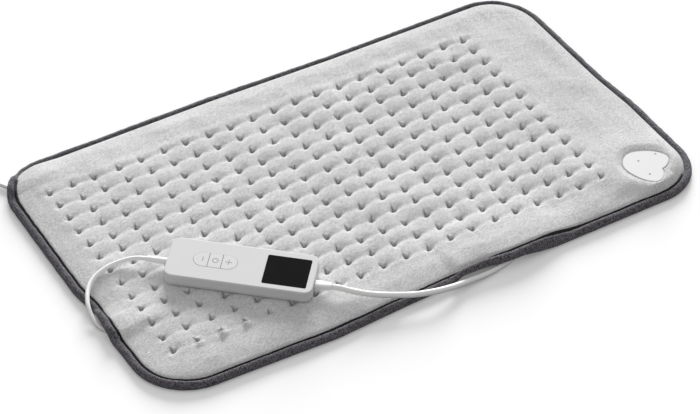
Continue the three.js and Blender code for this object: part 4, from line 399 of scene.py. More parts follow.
def route_samples(route, spacing=4.0):
    points = [np.array(p[:2]) for p in route]
    samples = []
    for a, b in zip(points, points[1:]):
        count = max(1, int(np.linalg.norm(b - a) / spacing))
        samples += [a + (b - a) * i / count for i in range(count)]
    return samples + [points[-1]]


# What lies under the pad: its run, how high it lifts the pad, and how far from its middle the lift
# starts to fall and ends. The last two runs are the plug with its sleeve and the connector.
LIFTERS = [(route_samples(mains_route[MAINS_LEAD_UNDER:]), 4.9, 5.0, 16.0),
           (route_samples(pad_route[PAD_LEAD_UNDER:]), 6.7, 6.0, 18.0),
           (route_samples([(202, -137.5), (243, -134.5)]), 7.9, 8.0, 20.0),
           (route_samples([(243, -134.5), (258, -133)]), 7.9, 13.0, 26.0)]


def lift_at(x, y):
    lift = np.zeros_like(x)
    for samples, height, flat, reach in LIFTERS:
        nearest = np.full(x.shape, 1e9)
        for sx, sy in samples:
            nearest = np.minimum(nearest, (x - sx) ** 2 + (y - sy) ** 2)
        distance = np.sqrt(nearest)
        lift = np.maximum(lift, height * (1 - ease(distance, flat, reach)))
    return lift


def edge_lift(x, y):
    """The lift of the binding's inner border nearest to each place, on the two sides that have leads."""
    nearer_left = HALF_LENGTH + x < HALF_WIDTH + y
    border_x = np.where(nearer_left, BINDING - HALF_LENGTH, x)
    border_y = np.where(nearer_left, y, BINDING - HALF_WIDTH)
    return lift_at(border_x, border_y)


print("highest lift of the edge:", lift_at(edge_x, edge_y).max(), "mm")

# %% [markdown]
# Short plush over a thin quilt: thirteen rows of twenty tufts pull the surface down into small deep
# pits, with soft valleys along the rows and round ridges between them. Outside the tufts the margin
# is one smooth swelling that dives under the binding. The surface is a fine net whose lines crowd
# together near the tufts, and a formula gives its height.

# %% Net of the plush
TUFT_COLUMNS, TUFT_ROWS = 20, 13
PITCH_X, PITCH_Y = 24.74, 20.17
TUFTS_X = -265 + PITCH_X * np.arange(TUFT_COLUMNS)
TUFTS_Y = 122 - PITCH_Y * np.arange(TUFT_ROWS)
NET_STEP = 1.7
CROWDING = 0.6
LAST_MARGIN = 0.7  # the net is finer towards the plate and the back edge
rng = np.random.default_rng(7)
tuft_shift = rng.normal(0, 0.5, (2, TUFT_COLUMNS, TUFT_ROWS))
tuft_depth = 1 + rng.normal(0, 0.1, (TUFT_COLUMNS, TUFT_ROWS))
tuft_turn = rng.normal(0, 0.3, (TUFT_COLUMNS, TUFT_ROWS))
tuft_bow = rng.uniform(0.0, 1.2, (TUFT_COLUMNS, TUFT_ROWS))


def crowded(centres, pitch, steps, low, high):
    """Net lines: close together at each tuft, wider between tufts and in the margins."""
    share = np.linspace(0, 1, steps + 1)[:-1]
    bend = share - CROWDING * np.sin(2 * math.pi * share) / (2 * math.pi)
    lines = [c + pitch * bend for c in sorted(centres)[:-1]]
    first, last = min(centres), max(centres)
    before = np.arange(first - NET_STEP / 2, low, -NET_STEP)[::-1]
    after = np.arange(last, high, NET_STEP * LAST_MARGIN)
    return np.concatenate([before] + lines + [after])


net_x = crowded(TUFTS_X, PITCH_X, 18, -HALF_LENGTH, HALF_LENGTH)
net_y = crowded(TUFTS_Y, PITCH_Y, 15, -HALF_WIDTH, HALF_WIDTH)
grid_x, grid_y = np.meshgrid(net_x, net_y)
print("net:", grid_x.shape, "points:", grid_x.size)

# %% [markdown]
# The white plate over the connector is riveted down into the plush. Its outline is read from the CAD
# piece, so the plush can dip under it and swell up round it.

# %% Room for the connector's plate
plate_node = frame["nodes"]["connector_cover"]
plate_spots = np.array([plate_node.matrix_world @ v.co for v in plate_node.data.vertices]) / MM
plate_low, plate_top = plate_spots[:, 2].min(), plate_spots[:, 2].max()
plate_spots = plate_spots[:, :2]
plate_centre = (plate_spots.min(0) + plate_spots.max(0)) / 2
spot_turns = np.arctan2(*(plate_spots - plate_centre).T[::-1])
spot_reach = np.hypot(*(plate_spots - plate_centre).T)
turn_places = np.linspace(-math.pi, math.pi, 61)
plate_reach = np.array([
    spot_reach[np.abs(np.angle(np.exp(1j * (spot_turns - t)))) < 0.09].max() for t in turn_places])


def beyond_plate(x, y):
    """How far a place lies outside the plate's outline, less than zero under it."""
    dx, dy = x - plate_centre[0], y - plate_centre[1]
    return np.hypot(dx, dy) - np.interp(np.arctan2(dy, dx), turn_places, plate_reach)


print("plate centre:", plate_centre, "reach:", plate_reach.min(), "to", plate_reach.max(),
      "height:", plate_low, "to", plate_top)

# %% [markdown]
# Two formulas shape all that is soft here. A bell is a round dent with a soft border. A sum of waves
# with random directions is the calm unevenness of a filled quilt, and its seed keeps it the same in
# every run.

# %% Bells and waves
WAVES = 18


def bell(value, width, power=2.0):
    return np.exp(-(np.abs(value) / width) ** power)


def soft_noise(x, y, scale, seed):
    """A smooth random field, with swells about as wide as the scale."""
    waves = np.random.default_rng(seed)
    total = np.zeros_like(x)
    for _ in range(WAVES):
        angle, phase = waves.uniform(0, math.tau, 2)
        size = scale * waves.uniform(0.7, 1.6)
        total += np.sin((x * math.cos(angle) + y * math.sin(angle)) / size * math.tau + phase)
    return total / WAVES ** 0.5


print("a bell at its middle, its width and twice its width:", bell(np.array([0, 1, 2]), 1).round(3))

# %% [markdown]
# A tuft is deepest at its stitch. Its near wall is steep and its far wall is long and soft, because
# the pile leans that way, and a few sharp creases run out of it like the folds at a button. Towards
# the left the long dent fades out, as the pile was combed less there. The tufts of a row share a
# valley that bows a little between them, and a few in the front row have a fold beside the stitch.

# %% Pull of a tuft
SIGHT_SHIFT = 3.3  # brings the tufts to where the camera sees them
LEAN = math.radians(17)
ROW_VALLEY, COLUMN_VALLEY = 1.2, 0.4
BOW = 0.6
BOWL, PIT = 1.8, 2.2
CREASE, LOBE = 1.4, 1.3
# Each crease's direction in radians, its strength, and its length in millimetres.
CREASES = ((0.45, 0.9, 5.5), (1.75, 1.0, 7.5), (1.1, 0.45, 4.0), (-2.9, 0.3, 4.0))
FOLD = 4.2
FOLD_SLANT = 0.2
FRONT_FOLDS = np.array([0, 0.6, 1.0, 1.2, 0.5] + [0] * 15)


def sided(value, below, above):
    return np.where(value < 0, below, above)


def turned(u, v, angle):
    """A place measured along a turned direction and across it."""
    return u * np.cos(angle) + v * np.sin(angle), v * np.cos(angle) - u * np.sin(angle)


def tuft_field(x, y):
    """One among the tufts, falling to nothing in the margins."""
    over_x = ease(x, TUFTS_X[0] - 15, TUFTS_X[0] - 1) * (1 - ease(x, TUFTS_X[-1] + 1, TUFTS_X[-1] + 15))
    over_y = ease(y, TUFTS_Y[-1] - 13, TUFTS_Y[-1] - 1) * (1 - ease(y, TUFTS_Y[0] + 1, TUFTS_Y[0] + 13))
    return over_x * over_y


def tuft_shape(x, y):
    """Pull of the stitches, share inside the field of tufts, and the pits and creases painted darker: the
    ground where the pile parts, and painted shade.
    """
    column = np.clip(np.rint((x - TUFTS_X[0]) / PITCH_X), 0, TUFT_COLUMNS - 1).astype(int)
    row = np.clip(np.rint((TUFTS_Y[0] - y - SIGHT_SHIFT) / PITCH_Y), 0, TUFT_ROWS - 1).astype(int)
    u = x - TUFTS_X[column] - tuft_shift[0, column, row]
    v = y - TUFTS_Y[row] - tuft_shift[1, column, row] + SIGHT_SHIFT
    inside = tuft_field(x, y)
    bowed = v - BOW * tuft_bow[column, row] * np.sin(math.pi * u / PITCH_X) ** 2
    row_valley = ROW_VALLEY * bell(bowed, sided(bowed, 2.4, 4.6), 1.6) * (0.5 + 0.5 * bell(u - 3, 8))
    column_valley = COLUMN_VALLEY * bell(u, 4.0) * (0.35 + 0.65 * bell(v, 7))
    combed = np.interp(x, (-265, -20), (0.25, 1.0))
    far, aside = turned(u, v, LEAN)
    bowl = np.hypot(far / sided(far, 3.4, 8.5), aside / sided(aside, 2.6, 3.4))
    pit = np.hypot(u / sided(u, 1.6, 1.9), v / sided(v, 1.3, 1.8))
    creases = -LOBE * bell(np.hypot(u - 1.5, v - 2.9), 1.4)
    # The pit's middle and its creases are painted darker as well: partly the darker ground where the pile
    # parts, partly painted shade.
    parting_and_shade = bell(np.hypot((u - 0.2) / 1.5, (v - 0.7) / 1.3), 1)
    for turn, strength, length in CREASES:
        along, across = turned(u, v, turn + tuft_turn[column, row])
        run = ease(along, 0, 1.2) * (1 - ease(along, 0.45 * length, length))
        creases = creases + CREASE * strength * bell(across, 0.9) * run
        parting_and_shade = np.maximum(parting_and_shade, 1.3 * strength * bell(across, 0.7) * run)
    folds = FRONT_FOLDS[column] * (row == TUFT_ROWS - 1)
    beside = u - FOLD_SLANT * v
    fold = FOLD * folds * np.clip(1 - np.abs(beside) / sided(beside, 3.4, 8.0), 0, 1)
    fold = fold * ease(-v, -7, -1) * (1 - ease(-v, 2, 9))
    depth = tuft_depth[column, row] * (1 - 0.3 * np.clip(folds, 0, 1))
    share = np.clip(inside * 1.5, 0, 1)
    stitch = BOWL * combed * bell(bowl, 1, 1.5) + PIT * bell(pit, 1, 1.5) + creases
    pulled = inside * (row_valley + column_valley) + stitch * depth * share - fold
    return pulled, inside, np.clip(parting_and_shade, 0, 1) * share


print("tufts:", TUFT_COLUMNS * TUFT_ROWS, "with", len(CREASES), "creases each")

# %% [markdown]
# The upper side is put together from its parts: the rim that rises out of the binding, the crown, a
# calm unevenness, and the pull of the tufts. Then it gives way to what it meets. It stays above the
# leads under the pad, swells round the connector's plate and dips under it, and lies flat where the
# controller's case presses on it.

# %% Height of the plush
CROWN = 11.4  # height among the tufts
MARGIN = 10.4  # height between the tufts and the rim
# Where the plush comes out of the tape on each side, how high it is there, and how far it rises.
RIM_STARTS = {"right": 9.8, "back": 9.6, "left": 10.2, "front": 11.4}
RIM_HEIGHTS = {"right": 8.2, "back": 7.4, "left": 6.3, "front": 6.9}
RIM_REACHES = {"right": 14.0, "back": 20.0, "left": 32.0, "front": 20.0}
RIM_DIVE = 3.5  # how deep it goes below the tape's lip
RIM_AT_PLATE = 0.9
WANDER = ((0.45, 70, 3), (0.22, 26, 4), (0.1, 11, 5))  # height, width and seed
EDGE_LIFT_REACH = 66
LOWER_TO_UPPER = 1.8  # the pad's least thickness over a lead
CASE_REACH = (68.5, 25.2)  # half of the flat underside, along and across
CASE_GAP = 0.15


def rim_and_crown(x, y, inset, beyond):
    """The upper side before it meets a lead, the plate or the case."""
    rim_height = by_side(RIM_HEIGHTS, x, y) + RIM_AT_PLATE * bell(np.clip(beyond, 0, None), 24)
    start = by_side(RIM_STARTS, x, y)
    rise = np.clip((inset - start) / by_side(RIM_REACHES, x, y), 0, 1)
    rim = rim_height + (MARGIN - rim_height) * (1 - (1 - rise) ** 1.6)
    rim = rim - RIM_DIVE * (1 - ease(inset, start - 3, start + 1))
    wander = sum(high * soft_noise(x, y, wide, seed) for high, wide, seed in WANDER)
    pulled, inside, _ = tuft_shape(x, y)
    return rim + inside * (CROWN - MARGIN) + wander * ease(inset, 9, 30) - pulled


def over_leads(shape, x, y):
    """Lifts the plush with the edge, and keeps it above what lies under the pad."""
    from_lead_side = np.minimum(HALF_LENGTH + x, HALF_WIDTH + y)
    shape = shape + edge_lift(x, y) * (1 - np.clip((from_lead_side - 8) / EDGE_LIFT_REACH, 0, 1))
    lifted = lift_at(x, y) + LOWER_TO_UPPER
    return (shape + lifted + np.hypot(shape - lifted, 0.3)) / 2


def round_plate(shape, x, y, inset, beyond):
    """Swells the plush to the plate's top all round it, most behind it."""
    behind = ease(y - plate_centre[1] - 0.5 * (x - plate_centre[0]), -12, 12)
    swell = plate_top - 0.2 + (0.3 + 1.2 * behind) * ease(beyond, 1.5, 9)
    near = bell(np.clip(beyond - 3 - 4 * behind, 0, None), 12 + 10 * behind) * ease(inset, 10, 16)
    return shape + (swell - shape) * near


def under_case(x, y):
    """True where the controller's flat underside presses on the plush."""
    along, across = turned(x - CASE_PLACE[0], y - CASE_PLACE[1], CASE_TURN)
    return (np.abs(along) < CASE_REACH[0]) & (np.abs(across) < CASE_REACH[1])


def plush_height(x, y):
    inset, beyond = inset_of(x, y) / fold_share(x, y), beyond_plate(x, y)
    shape = over_leads(rim_and_crown(x, y, inset, beyond), x, y)
    shape = round_plate(shape, x, y, inset, beyond)
    shape = np.where(under_case(x, y), np.minimum(shape, CASE_PLACE[2] - CASE_GAP), shape)
    below_plate = plate_low - 0.3 + (plate_top - plate_low) * ease(beyond, 0.2, 1.4)
    return np.where(beyond < 1.6, np.minimum(shape, below_plate), shape)


height = plush_height(grid_x, grid_y)
print("plush from", round(float(height.min()), 1), "to", round(float(height.max()), 1), "mm")

# %% [markdown]
# A net of heights becomes a mesh of squares. Only the squares that lie inside the binding are kept,
# so their ragged border is hidden in the tape, as the cut edge of the real cloth is.

# %% A net as a mesh


def net_mesh(name, xs, ys, zs, keep):
    rows, columns = xs.shape
    index = np.arange(rows * columns).reshape(rows, columns)
    good = keep[:-1, :-1] & keep[1:, :-1] & keep[:-1, 1:] & keep[1:, 1:]
    quads = np.stack([index[:-1, :-1], index[:-1, 1:], index[1:, 1:], index[1:, :-1]], -1)[good]
    used = np.unique(quads)
    renumber = np.full(rows * columns, -1)
    renumber[used] = np.arange(len(used))
    points = np.stack([xs.ravel(), ys.ravel(), zs.ravel()], -1)[used] * MM
    mesh = bpy.data.meshes.new(name)
    mesh.from_pydata(points.tolist(), [], renumber[quads].tolist())
    mesh.polygons.foreach_set("use_smooth", [True] * len(mesh.polygons))
    mesh.update()
    print(name, "has", len(mesh.polygons), "faces")
    return placed(name, mesh), used


plain_inset = inset_of(grid_x, grid_y)
shaped_x, shaped_y = tucked(grid_x, grid_y)
upper_cover, kept = net_mesh("plush_upper_cover", shaped_x, shaped_y, height, plain_inset > 5.0)

# %% [markdown]
# A coarser underside closes the upper cover to one crowned form, which leaves room for the fleece and the
# heating layer in the middle. It shares the net's border points, so no seam stays open. How much each
# stitch's pits and creases are painted darker, as painted shade and as the ground where the pile parts, is
# kept on the mesh as an attribute, for the finish to read.

# %% Underside of the upper cover


def underside_height(x, y):
    inset = inset_of(x, y)
    middle = 3.5 * ease(inset, 25, 50) + 2.0 * ease(inset, 50, 66)
    return np.maximum(lift_at(x, y) + 1.6 + 2.4 * (1 - ease(inset, 4, 12)), middle)


def close_below(piece, spacing=9.0):
    """Closes an open net with a coarse underside that starts at its border."""
    net = bmesh.new()
    net.from_mesh(piece.data)
    border = [e for e in net.edges if e.is_boundary]
    made = bmesh.ops.extrude_edge_only(net, edges=border)["geom"]
    low_points = [g for g in made if isinstance(g, bmesh.types.BMVert)]
    low_edges = [g for g in made if isinstance(g, bmesh.types.BMEdge) and g.is_boundary]
    number = {v: i for i, v in enumerate(low_points)}
    inner_x, inner_y = np.meshgrid(np.arange(-HALF_LENGTH, HALF_LENGTH, spacing),
                                   np.arange(-HALF_WIDTH, HALF_WIDTH, spacing))
    inner_inset = inset_of(inner_x, inner_y)
    inner_x, inner_y = tucked(inner_x, inner_y)
    inner = np.stack([inner_x, inner_y], -1)[inner_inset > 14] * MM
    flat = [Vector((v.co.x, v.co.y)) for v in low_points] + [Vector(p) for p in inner.tolist()]
    sides = [tuple(number[v] for v in e.verts) for e in low_edges]
    places, _, faces, origins, _, _ = delaunay_2d_cdt(flat, sides, [], 1, 1e-9)
    spots = np.array([(p.x, p.y) for p in places]) / MM
    heights = underside_height(spots[:, 0], spots[:, 1]) * MM
    corners = []
    for place, z, origin in zip(places, heights, origins):
        known = origin and origin[0] < len(low_points)
        corner = low_points[origin[0]] if known else net.verts.new((place.x, place.y, z))
        corner.co.z = z
        corners.append(corner)
    for face in faces:
        net.faces.new([corners[i] for i in reversed(face)]).smooth = True
    bmesh.ops.recalc_face_normals(net, faces=net.faces)
    open_edges = sum(1 for e in net.edges if not e.is_manifold)
    net.to_mesh(piece.data)
    net.free()
    print(piece.name, "closed, with", open_edges, "open edges")


# How much each point of the net is painted darker in the pits and creases: painted shade, and the ground
# where the pile parts.
core_shade_share = tuft_shape(grid_x, grid_y)[2].ravel()[kept]
close_below(upper_cover)
core_attribute = upper_cover.data.attributes.new("tuft_core_shade", "FLOAT", "POINT")
core_values = np.zeros(len(upper_cover.data.vertices))
core_values[:len(core_shade_share)] = core_shade_share
core_attribute.data.foreach_set("value", core_values)

# %% [markdown]
# The lower cover is a plain sheet of the same cloth, a little over a millimetre thick, that turns up
# into the binding.

# %% Lower cover
coarse_x, coarse_y = np.meshgrid(np.linspace(-HALF_LENGTH, HALF_LENGTH, 153),
                                 np.linspace(-HALF_WIDTH, HALF_WIDTH, 89))
coarse_inset = inset_of(coarse_x, coarse_y)
low_x, low_y = tucked(coarse_x, coarse_y)
low_z = lift_at(coarse_x, coarse_y) + 1.2 + 1.9 * (1 - ease(coarse_inset, 3, 11))
lower_cover, _ = net_mesh("plush_lower_cover", low_x, low_y, low_z, coarse_inset > 3.0)
thickness = lower_cover.modifiers.new("thickness", "SOLIDIFY")
thickness.thickness = 1.1 * MM
thickness.offset = -1

# %% [markdown]
# Short plush is a knitted ground with a pile of a few millimetres. Light skims its tips, so it looks
# brighter at grazing angles, and strokes of the hand leave faint streaks. Sheen gives the tips, a
# stretched noise gives the streaks, and a finer one stands for the pile, drawn coarser than life so that
# it shows at this distance. The pits and creases at each stitch are painted a darker grey: partly the
# darker ground where the pile parts, partly painted shade.

# %% Plush colour
STROKES_PER_METRE = 950.0  # strokes about 1 mm wide, drawn coarser than single hairs
STROKE_STRETCH = (3.6, 1.0, 1.0)  # and 3.6 times as long
PATCHES_PER_METRE = 26.0  # patches about 4 cm wide, as wide as a finger's stroke leaves
PATCHES_SHARE = 0.22
PILE_PER_METRE = 640.0  # bundles of hairs about 1.6 mm wide
plush, plush_tree, plush_shader = new_finish(
    "light_grey_polyester_plush", "#D2D2D2", 0.95, Sheen_Weight=0.2, Sheen_Roughness=0.45,
    Specular_IOR_Level=0.1)
plush_place = add_node(plush_tree, "ShaderNodeTexCoord").outputs["Object"]
stroke_frame = add_node(plush_tree, "ShaderNodeMapping", settings={"vector_type": "TEXTURE"}, inputs={
    "Rotation": (0, 0, math.radians(24)), "Scale": STROKE_STRETCH},
    links={"Vector": plush_place})
strokes, patches, pile = [
    add_node(plush_tree, "ShaderNodeTexNoise", links={"Vector": source}, inputs={
        "Scale": per_metre, "Detail": detail, "Roughness": rough}).outputs["Fac"]
    for source, per_metre, detail, rough in (
        (stroke_frame.outputs["Vector"], STROKES_PER_METRE, 3.0, 0.65),
        (plush_place, PATCHES_PER_METRE, 4.0, 0.5), (plush_place, PILE_PER_METRE, 4.0, 0.7))]
blend_share = add_node(plush_tree, "ShaderNodeMix", settings={"data_type": "FLOAT"},
                       inputs={"Factor": PATCHES_SHARE}, links={"A": strokes, "B": patches})
tint = add_node(plush_tree, "ShaderNodeValToRGB", links={"Fac": blend_share.outputs["Result"]})
for stop, at, colour in zip(tint.color_ramp.elements, (0.34, 0.64), ("#BBBBBB", "#E4E4E4")):
    stop.position, stop.color = at, linear(colour)
# Pits and creases are painted a darker grey: painted shade, and the darker ground where the pile parts.
core = add_node(plush_tree, "ShaderNodeAttribute", settings={"attribute_name": "tuft_core_shade"})
speck = add_node(plush_tree, "ShaderNodeMapRange", inputs={
    "From Min": 0.3, "From Max": 0.7, "To Min": 0.5, "To Max": 1.0}, links={"Value": pile})
painted_core_shade = add_node(plush_tree, "ShaderNodeMath", settings={"operation": "MULTIPLY"},
                     links={0: core.outputs["Fac"], 1: speck.outputs["Result"]})
ground_and_shade = add_node(plush_tree, "ShaderNodeMix", settings={"data_type": "RGBA"},
                  links={"Factor": painted_core_shade.outputs["Value"], "A": tint.outputs["Color"]})
ground_and_shade.inputs["B"].default_value = linear("#66666A")
plush_tree.links.new(ground_and_shade.outputs["Result"], plush_shader.inputs["Base Color"])
print("plush colours:", len(plush_tree.nodes), "nodes")

# %% [markdown]
# The same strokes and bundles of pile also stand up a little. A bump of less than a millimetre lets
# the low lamp catch them, and then both covers get the finish.

# %% Nap of the plush
PILE_HEIGHT = 0.8
pile_sum = add_node(plush_tree, "ShaderNodeMath", settings={"operation": "ADD"},
                    links={0: strokes, 1: pile})
pile_bump = add_node(plush_tree, "ShaderNodeBump", inputs={
    "Strength": 1.0, "Distance": PILE_HEIGHT * MM}, links={"Height": pile_sum.outputs["Value"]})
plush_tree.links.new(pile_bump.outputs["Normal"], plush_shader.inputs["Normal"])
for cover, node in ((upper_cover, "pad_top_cover"), (lower_cover, "pad_bottom_cover")):
    cover.data.materials.append(plush)
    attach(cover, "base")
    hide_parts(node)
print("covers finished:", upper_cover.name, lower_cover.name)

# %% [markdown]
# The binding is a knitted tape folded round the edge and sewn through. It is swept along the outline:
# a round outer roll, the groove that the seam pulls in, and a thin inner lip that presses into the
# pile. Each place of the section is how far inside the edge it lies, and how high. Sewing leaves it a
# little uneven, so its width and height waver by a few tenths of a millimetre.

# %% Binding
TAPE_SECTION = [
    (11.0, 4.2), (10.9, 5.3), (10.4, 6.1), (9.8, 6.35), (9.2, 6.1), (8.7, 5.4), (8.3, 4.9),
    (7.9, 5.3), (7.5, 6.4), (6.6, 7.4), (5.3, 7.8), (3.8, 7.6), (2.4, 6.9), (1.2, 5.8), (0.45, 4.5),
    (0.1, 3.2), (0.3, 2.0), (1.0, 0.95), (2.2, 0.35), (4.0, 0.12), (8.0, 0.12), (10.2, 0.3), (10.8, 1.2)]
FIRST_UNDER = 16  # from this place on, the section turns in below the pad
SEAM_PLACE = 6  # the groove
CLOSING_GIRTH = 3  # from the last place back to the first
share_round = fold_share(edge_x, edge_y)
tape_loops = []
for place, (inset, rise) in enumerate(TAPE_SECTION):
    reach = inset * (1 if place >= FIRST_UNDER else share_round)
    reach = reach + 0.15 * soft_noise(edge_x, edge_y, 7, 13) * (place < FIRST_UNDER)
    loop_x, loop_y = tucked(edge_x + inward_x * reach, edge_y + inward_y * reach)
    lift = lift_at(loop_x, loop_y)
    ripple = 0.22 * soft_noise(loop_x, loop_y, 30, 11) + 0.12 * soft_noise(loop_x, loop_y, 8, 12)
    ripple = ripple * (rise > 1)
    tape_loops.append(np.stack([loop_x, loop_y, rise + ripple + lift], -1))
around, across = len(edge_x), len(tape_loops)
tape_points = np.concatenate(tape_loops) * MM
tape_faces = []
for ring in range(across):
    for i in range(around):
        j = (i + 1) % around
        following = (ring + 1) % across
        tape_faces.append((ring * around + i, following * around + i, following * around + j,
                           ring * around + j))
tape_mesh = bpy.data.meshes.new("knitted_edge_tape")
tape_mesh.from_pydata(tape_points.tolist(), [], tape_faces)
tape_mesh.polygons.foreach_set("use_smooth", [True] * len(tape_mesh.polygons))
print("tape faces:", len(tape_mesh.polygons))

# %% [markdown]
# The tape gets a flat map of its own, in metres: along the outline in one direction and round the
# section in the other. The knit can then follow the tape round the corners.

# %% The tape's own map
run = np.concatenate([[0], np.cumsum(np.hypot(np.diff(edge_x), np.diff(edge_y)))]) * MM
section_steps = [math.dist(a, b) for a, b in zip(TAPE_SECTION, TAPE_SECTION[1:])]
girth = np.concatenate([[0], np.cumsum(section_steps)]) * MM
full_run = run[-1] + math.hypot(edge_x[0] - edge_x[-1], edge_y[0] - edge_y[-1]) * MM
tape_map = tape_mesh.uv_layers.new(name="tape")
flat_map = []
for ring in range(across):
    next_girth = girth[ring + 1] if ring + 1 < across else girth[ring] + CLOSING_GIRTH * MM
    for i in range(around):
        next_run = run[i + 1] if i + 1 < around else full_run
        flat_map += [run[i], girth[ring], run[i], next_girth, next_run, next_girth, next_run, girth[ring]]
tape_map.data.foreach_set("uv", flat_map)
tape = placed("knitted_edge_tape", tape_mesh)
shell = bmesh.new()
shell.from_mesh(tape_mesh)
bmesh.ops.recalc_face_normals(shell, faces=shell.faces)
shell.to_mesh(tape_mesh)
shell.free()
print("tape length:", full_run, "m, girth:", girth[-1], "m")

# %% [markdown]
# The tape is a fine rib knit of dark polyester: columns of small loops across its width. On the real
# tape they are about 1 mm apart. Here they are drawn at about 2 mm, so that they show from so far.
# The lip and the groove of the seam sink into the pile, so they are painted near black: painted shade,
# with the dark thread of the seam in the groove.

# %% Knitted tape finish
RIB_SPACING = 2.1712489  # a wave texture repeats after a 20th of a full turn
LOOPS_PER_METRE = 760.0  # loops 1.3 mm wide
MOTTLE_PER_METRE = 520.0  # lighter and darker yarn in spots about 2 mm wide
KNIT_DEPTH = 0.5
knit, knit_tree, knit_shader = new_finish(
    "dark_grey_polyester_knit", "#47454A", 0.9, Sheen_Weight=0.25, Sheen_Roughness=0.5,
    Specular_IOR_Level=0.15)
knit_map = add_node(knit_tree, "ShaderNodeUVMap", settings={"uv_map": "tape"})
knit_place = add_node(knit_tree, "ShaderNodeTexCoord").outputs["Object"]
ribs = add_node(knit_tree, "ShaderNodeTexWave", settings={"bands_direction": "X"}, inputs={
    "Scale": math.tau / (20 * RIB_SPACING * MM), "Distortion": 1.5, "Detail": 2.0,
    "Detail Scale": 2.0},
    links={"Vector": knit_map.outputs["UV"]})
loops = add_node(knit_tree, "ShaderNodeTexVoronoi", inputs={"Scale": LOOPS_PER_METRE},
                 links={"Vector": knit_place})
mottle = add_node(knit_tree, "ShaderNodeTexNoise", inputs={
    "Scale": MOTTLE_PER_METRE, "Detail": 5.0, "Roughness": 0.75},
    links={"Vector": knit_place})
knit_tint = add_node(knit_tree, "ShaderNodeValToRGB", links={"Fac": mottle.outputs["Fac"]})
for stop, at, colour in zip(knit_tint.color_ramp.elements, (0.38, 0.62), ("#2A282C", "#7B777E")):
    stop.position, stop.color = at, linear(colour)
knit_axes = add_node(knit_tree, "ShaderNodeSeparateXYZ", links={"Vector": knit_map.outputs["UV"]})
# The lip and the groove are painted near black: painted shade where they sink into the pile, with the dark
# thread of the seam in the groove.
seam_gap = add_node(knit_tree, "ShaderNodeMath", settings={"operation": "SUBTRACT"},
                    inputs={1: girth[SEAM_PLACE]}, links={0: knit_axes.outputs["Y"]})
seam_and_lip_shade = add_node(knit_tree, "ShaderNodeMapRange", inputs={
    "From Min": 0.5 * MM, "From Max": 1.5 * MM, "To Min": 1.0, "To Max": 0.0},
    links={"Value": seam_gap.outputs["Value"]})
knit_colour = add_node(knit_tree, "ShaderNodeMix", settings={"data_type": "RGBA"},
                       links={"Factor": seam_and_lip_shade.outputs["Result"], "A": knit_tint.outputs["Color"]})
knit_colour.inputs["B"].default_value = linear("#161517")
knit_tree.links.new(knit_colour.outputs["Result"], knit_shader.inputs["Base Color"])
knit_sum = add_node(knit_tree, "ShaderNodeMath", settings={"operation": "ADD"},
                    links={0: ribs.outputs["Fac"], 1: loops.outputs["Distance"]})
knit_bump = add_node(knit_tree, "ShaderNodeBump", inputs={
    "Strength": 1.0, "Distance": KNIT_DEPTH * MM}, links={"Height": knit_sum.outputs["Value"]})
knit_tree.links.new(knit_bump.outputs["Normal"], knit_shader.inputs["Normal"])
tape.data.materials.append(knit)
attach(tape, "base")
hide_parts("edge_binding")
print("tape finish:", len(knit_tree.nodes), "nodes")

# %% [markdown]
# The signs on the keys are pad-printed in grey: minus, the ring and bar of a power key, and plus. Each
# print is a thin flat piece on its own key, turned to be read with the display at the top.

# %% Signs on the keys
SIGN_TOP = 13.15
SIGN_REACH = 3.1
SIGN_STROKE = 0.85
SIGN_ACROSS = 0.9
INK = 0.06
MINUS_ALONG, POWER_ALONG, PLUS_ALONG = -36.7, -24.7, -12.4  # the keys' middles on the case
grey_ink = moulded("grey_pad_print_ink", "#7E7E80", 0.5, 0.3, 0.01)


def stroke(start, end):
    """The four corners of a straight stroke on the case's top, given along and across it."""
    along, across_it = end[0] - start[0], end[1] - start[1]
    length = math.hypot(along, across_it)
    side = (-across_it / length * SIGN_STROKE / 2, along / length * SIGN_STROKE / 2)
    return [(start[0] + side[0], start[1] + side[1]), (start[0] - side[0], start[1] - side[1]),
            (end[0] - side[0], end[1] - side[1]), (end[0] + side[0], end[1] + side[1])]


def arc_strip(reach, first, last, steps=40):
    angles = [math.radians(first + (last - first) * i / steps) for i in range(steps + 1)]
    inner, outer = reach - SIGN_STROKE / 2, reach + SIGN_STROKE / 2
    return [[(r * math.cos(a), r * math.sin(a)) for r, a in (
        (inner, a0), (outer, a0), (outer, a1), (inner, a1))] for a0, a1 in zip(angles, angles[1:])]


def key_sign(name, body, along, patches):
    """A printed sign made of flat four-cornered patches, given a thickness."""
    ink = bmesh.new()
    for patch in patches:
        ring = [ink.verts.new(Vector(on_pad(along + u, SIGN_ACROSS + v, SIGN_TOP)) * MM) for u, v in patch]
        ink.faces.new(ring)
    bmesh.ops.remove_doubles(ink, verts=ink.verts, dist=0.001 * MM)
    bmesh.ops.recalc_face_normals(ink, faces=ink.faces)
    raised = bmesh.ops.extrude_face_region(ink, geom=ink.faces[:])["geom"]
    for corner in [g for g in raised if isinstance(g, bmesh.types.BMVert)]:
        corner.co.z += INK * MM
    bmesh.ops.recalc_face_normals(ink, faces=ink.faces)
    mesh = bpy.data.meshes.new(name)
    ink.to_mesh(mesh)
    ink.free()
    mesh.materials.append(grey_ink)
    piece = placed(name, mesh)
    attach(piece, body)
    print(name, "has", len(mesh.polygons), "faces")


bar = stroke((0, -SIGN_REACH), (0, SIGN_REACH))
key_sign("print_minus", "key_minus", MINUS_ALONG, [bar])
key_sign("print_power", "key_power", POWER_ALONG,
         arc_strip(SIGN_REACH - 0.3, 40, 320) + [stroke((0.6, 0), (SIGN_REACH + 0.5, 0))])
key_sign("print_plus", "key_plus", PLUS_ALONG,
         [bar, stroke((-SIGN_REACH, 0), (-SIGN_STROKE / 2, 0)),
          stroke((SIGN_STROKE / 2, 0), (SIGN_REACH, 0))])

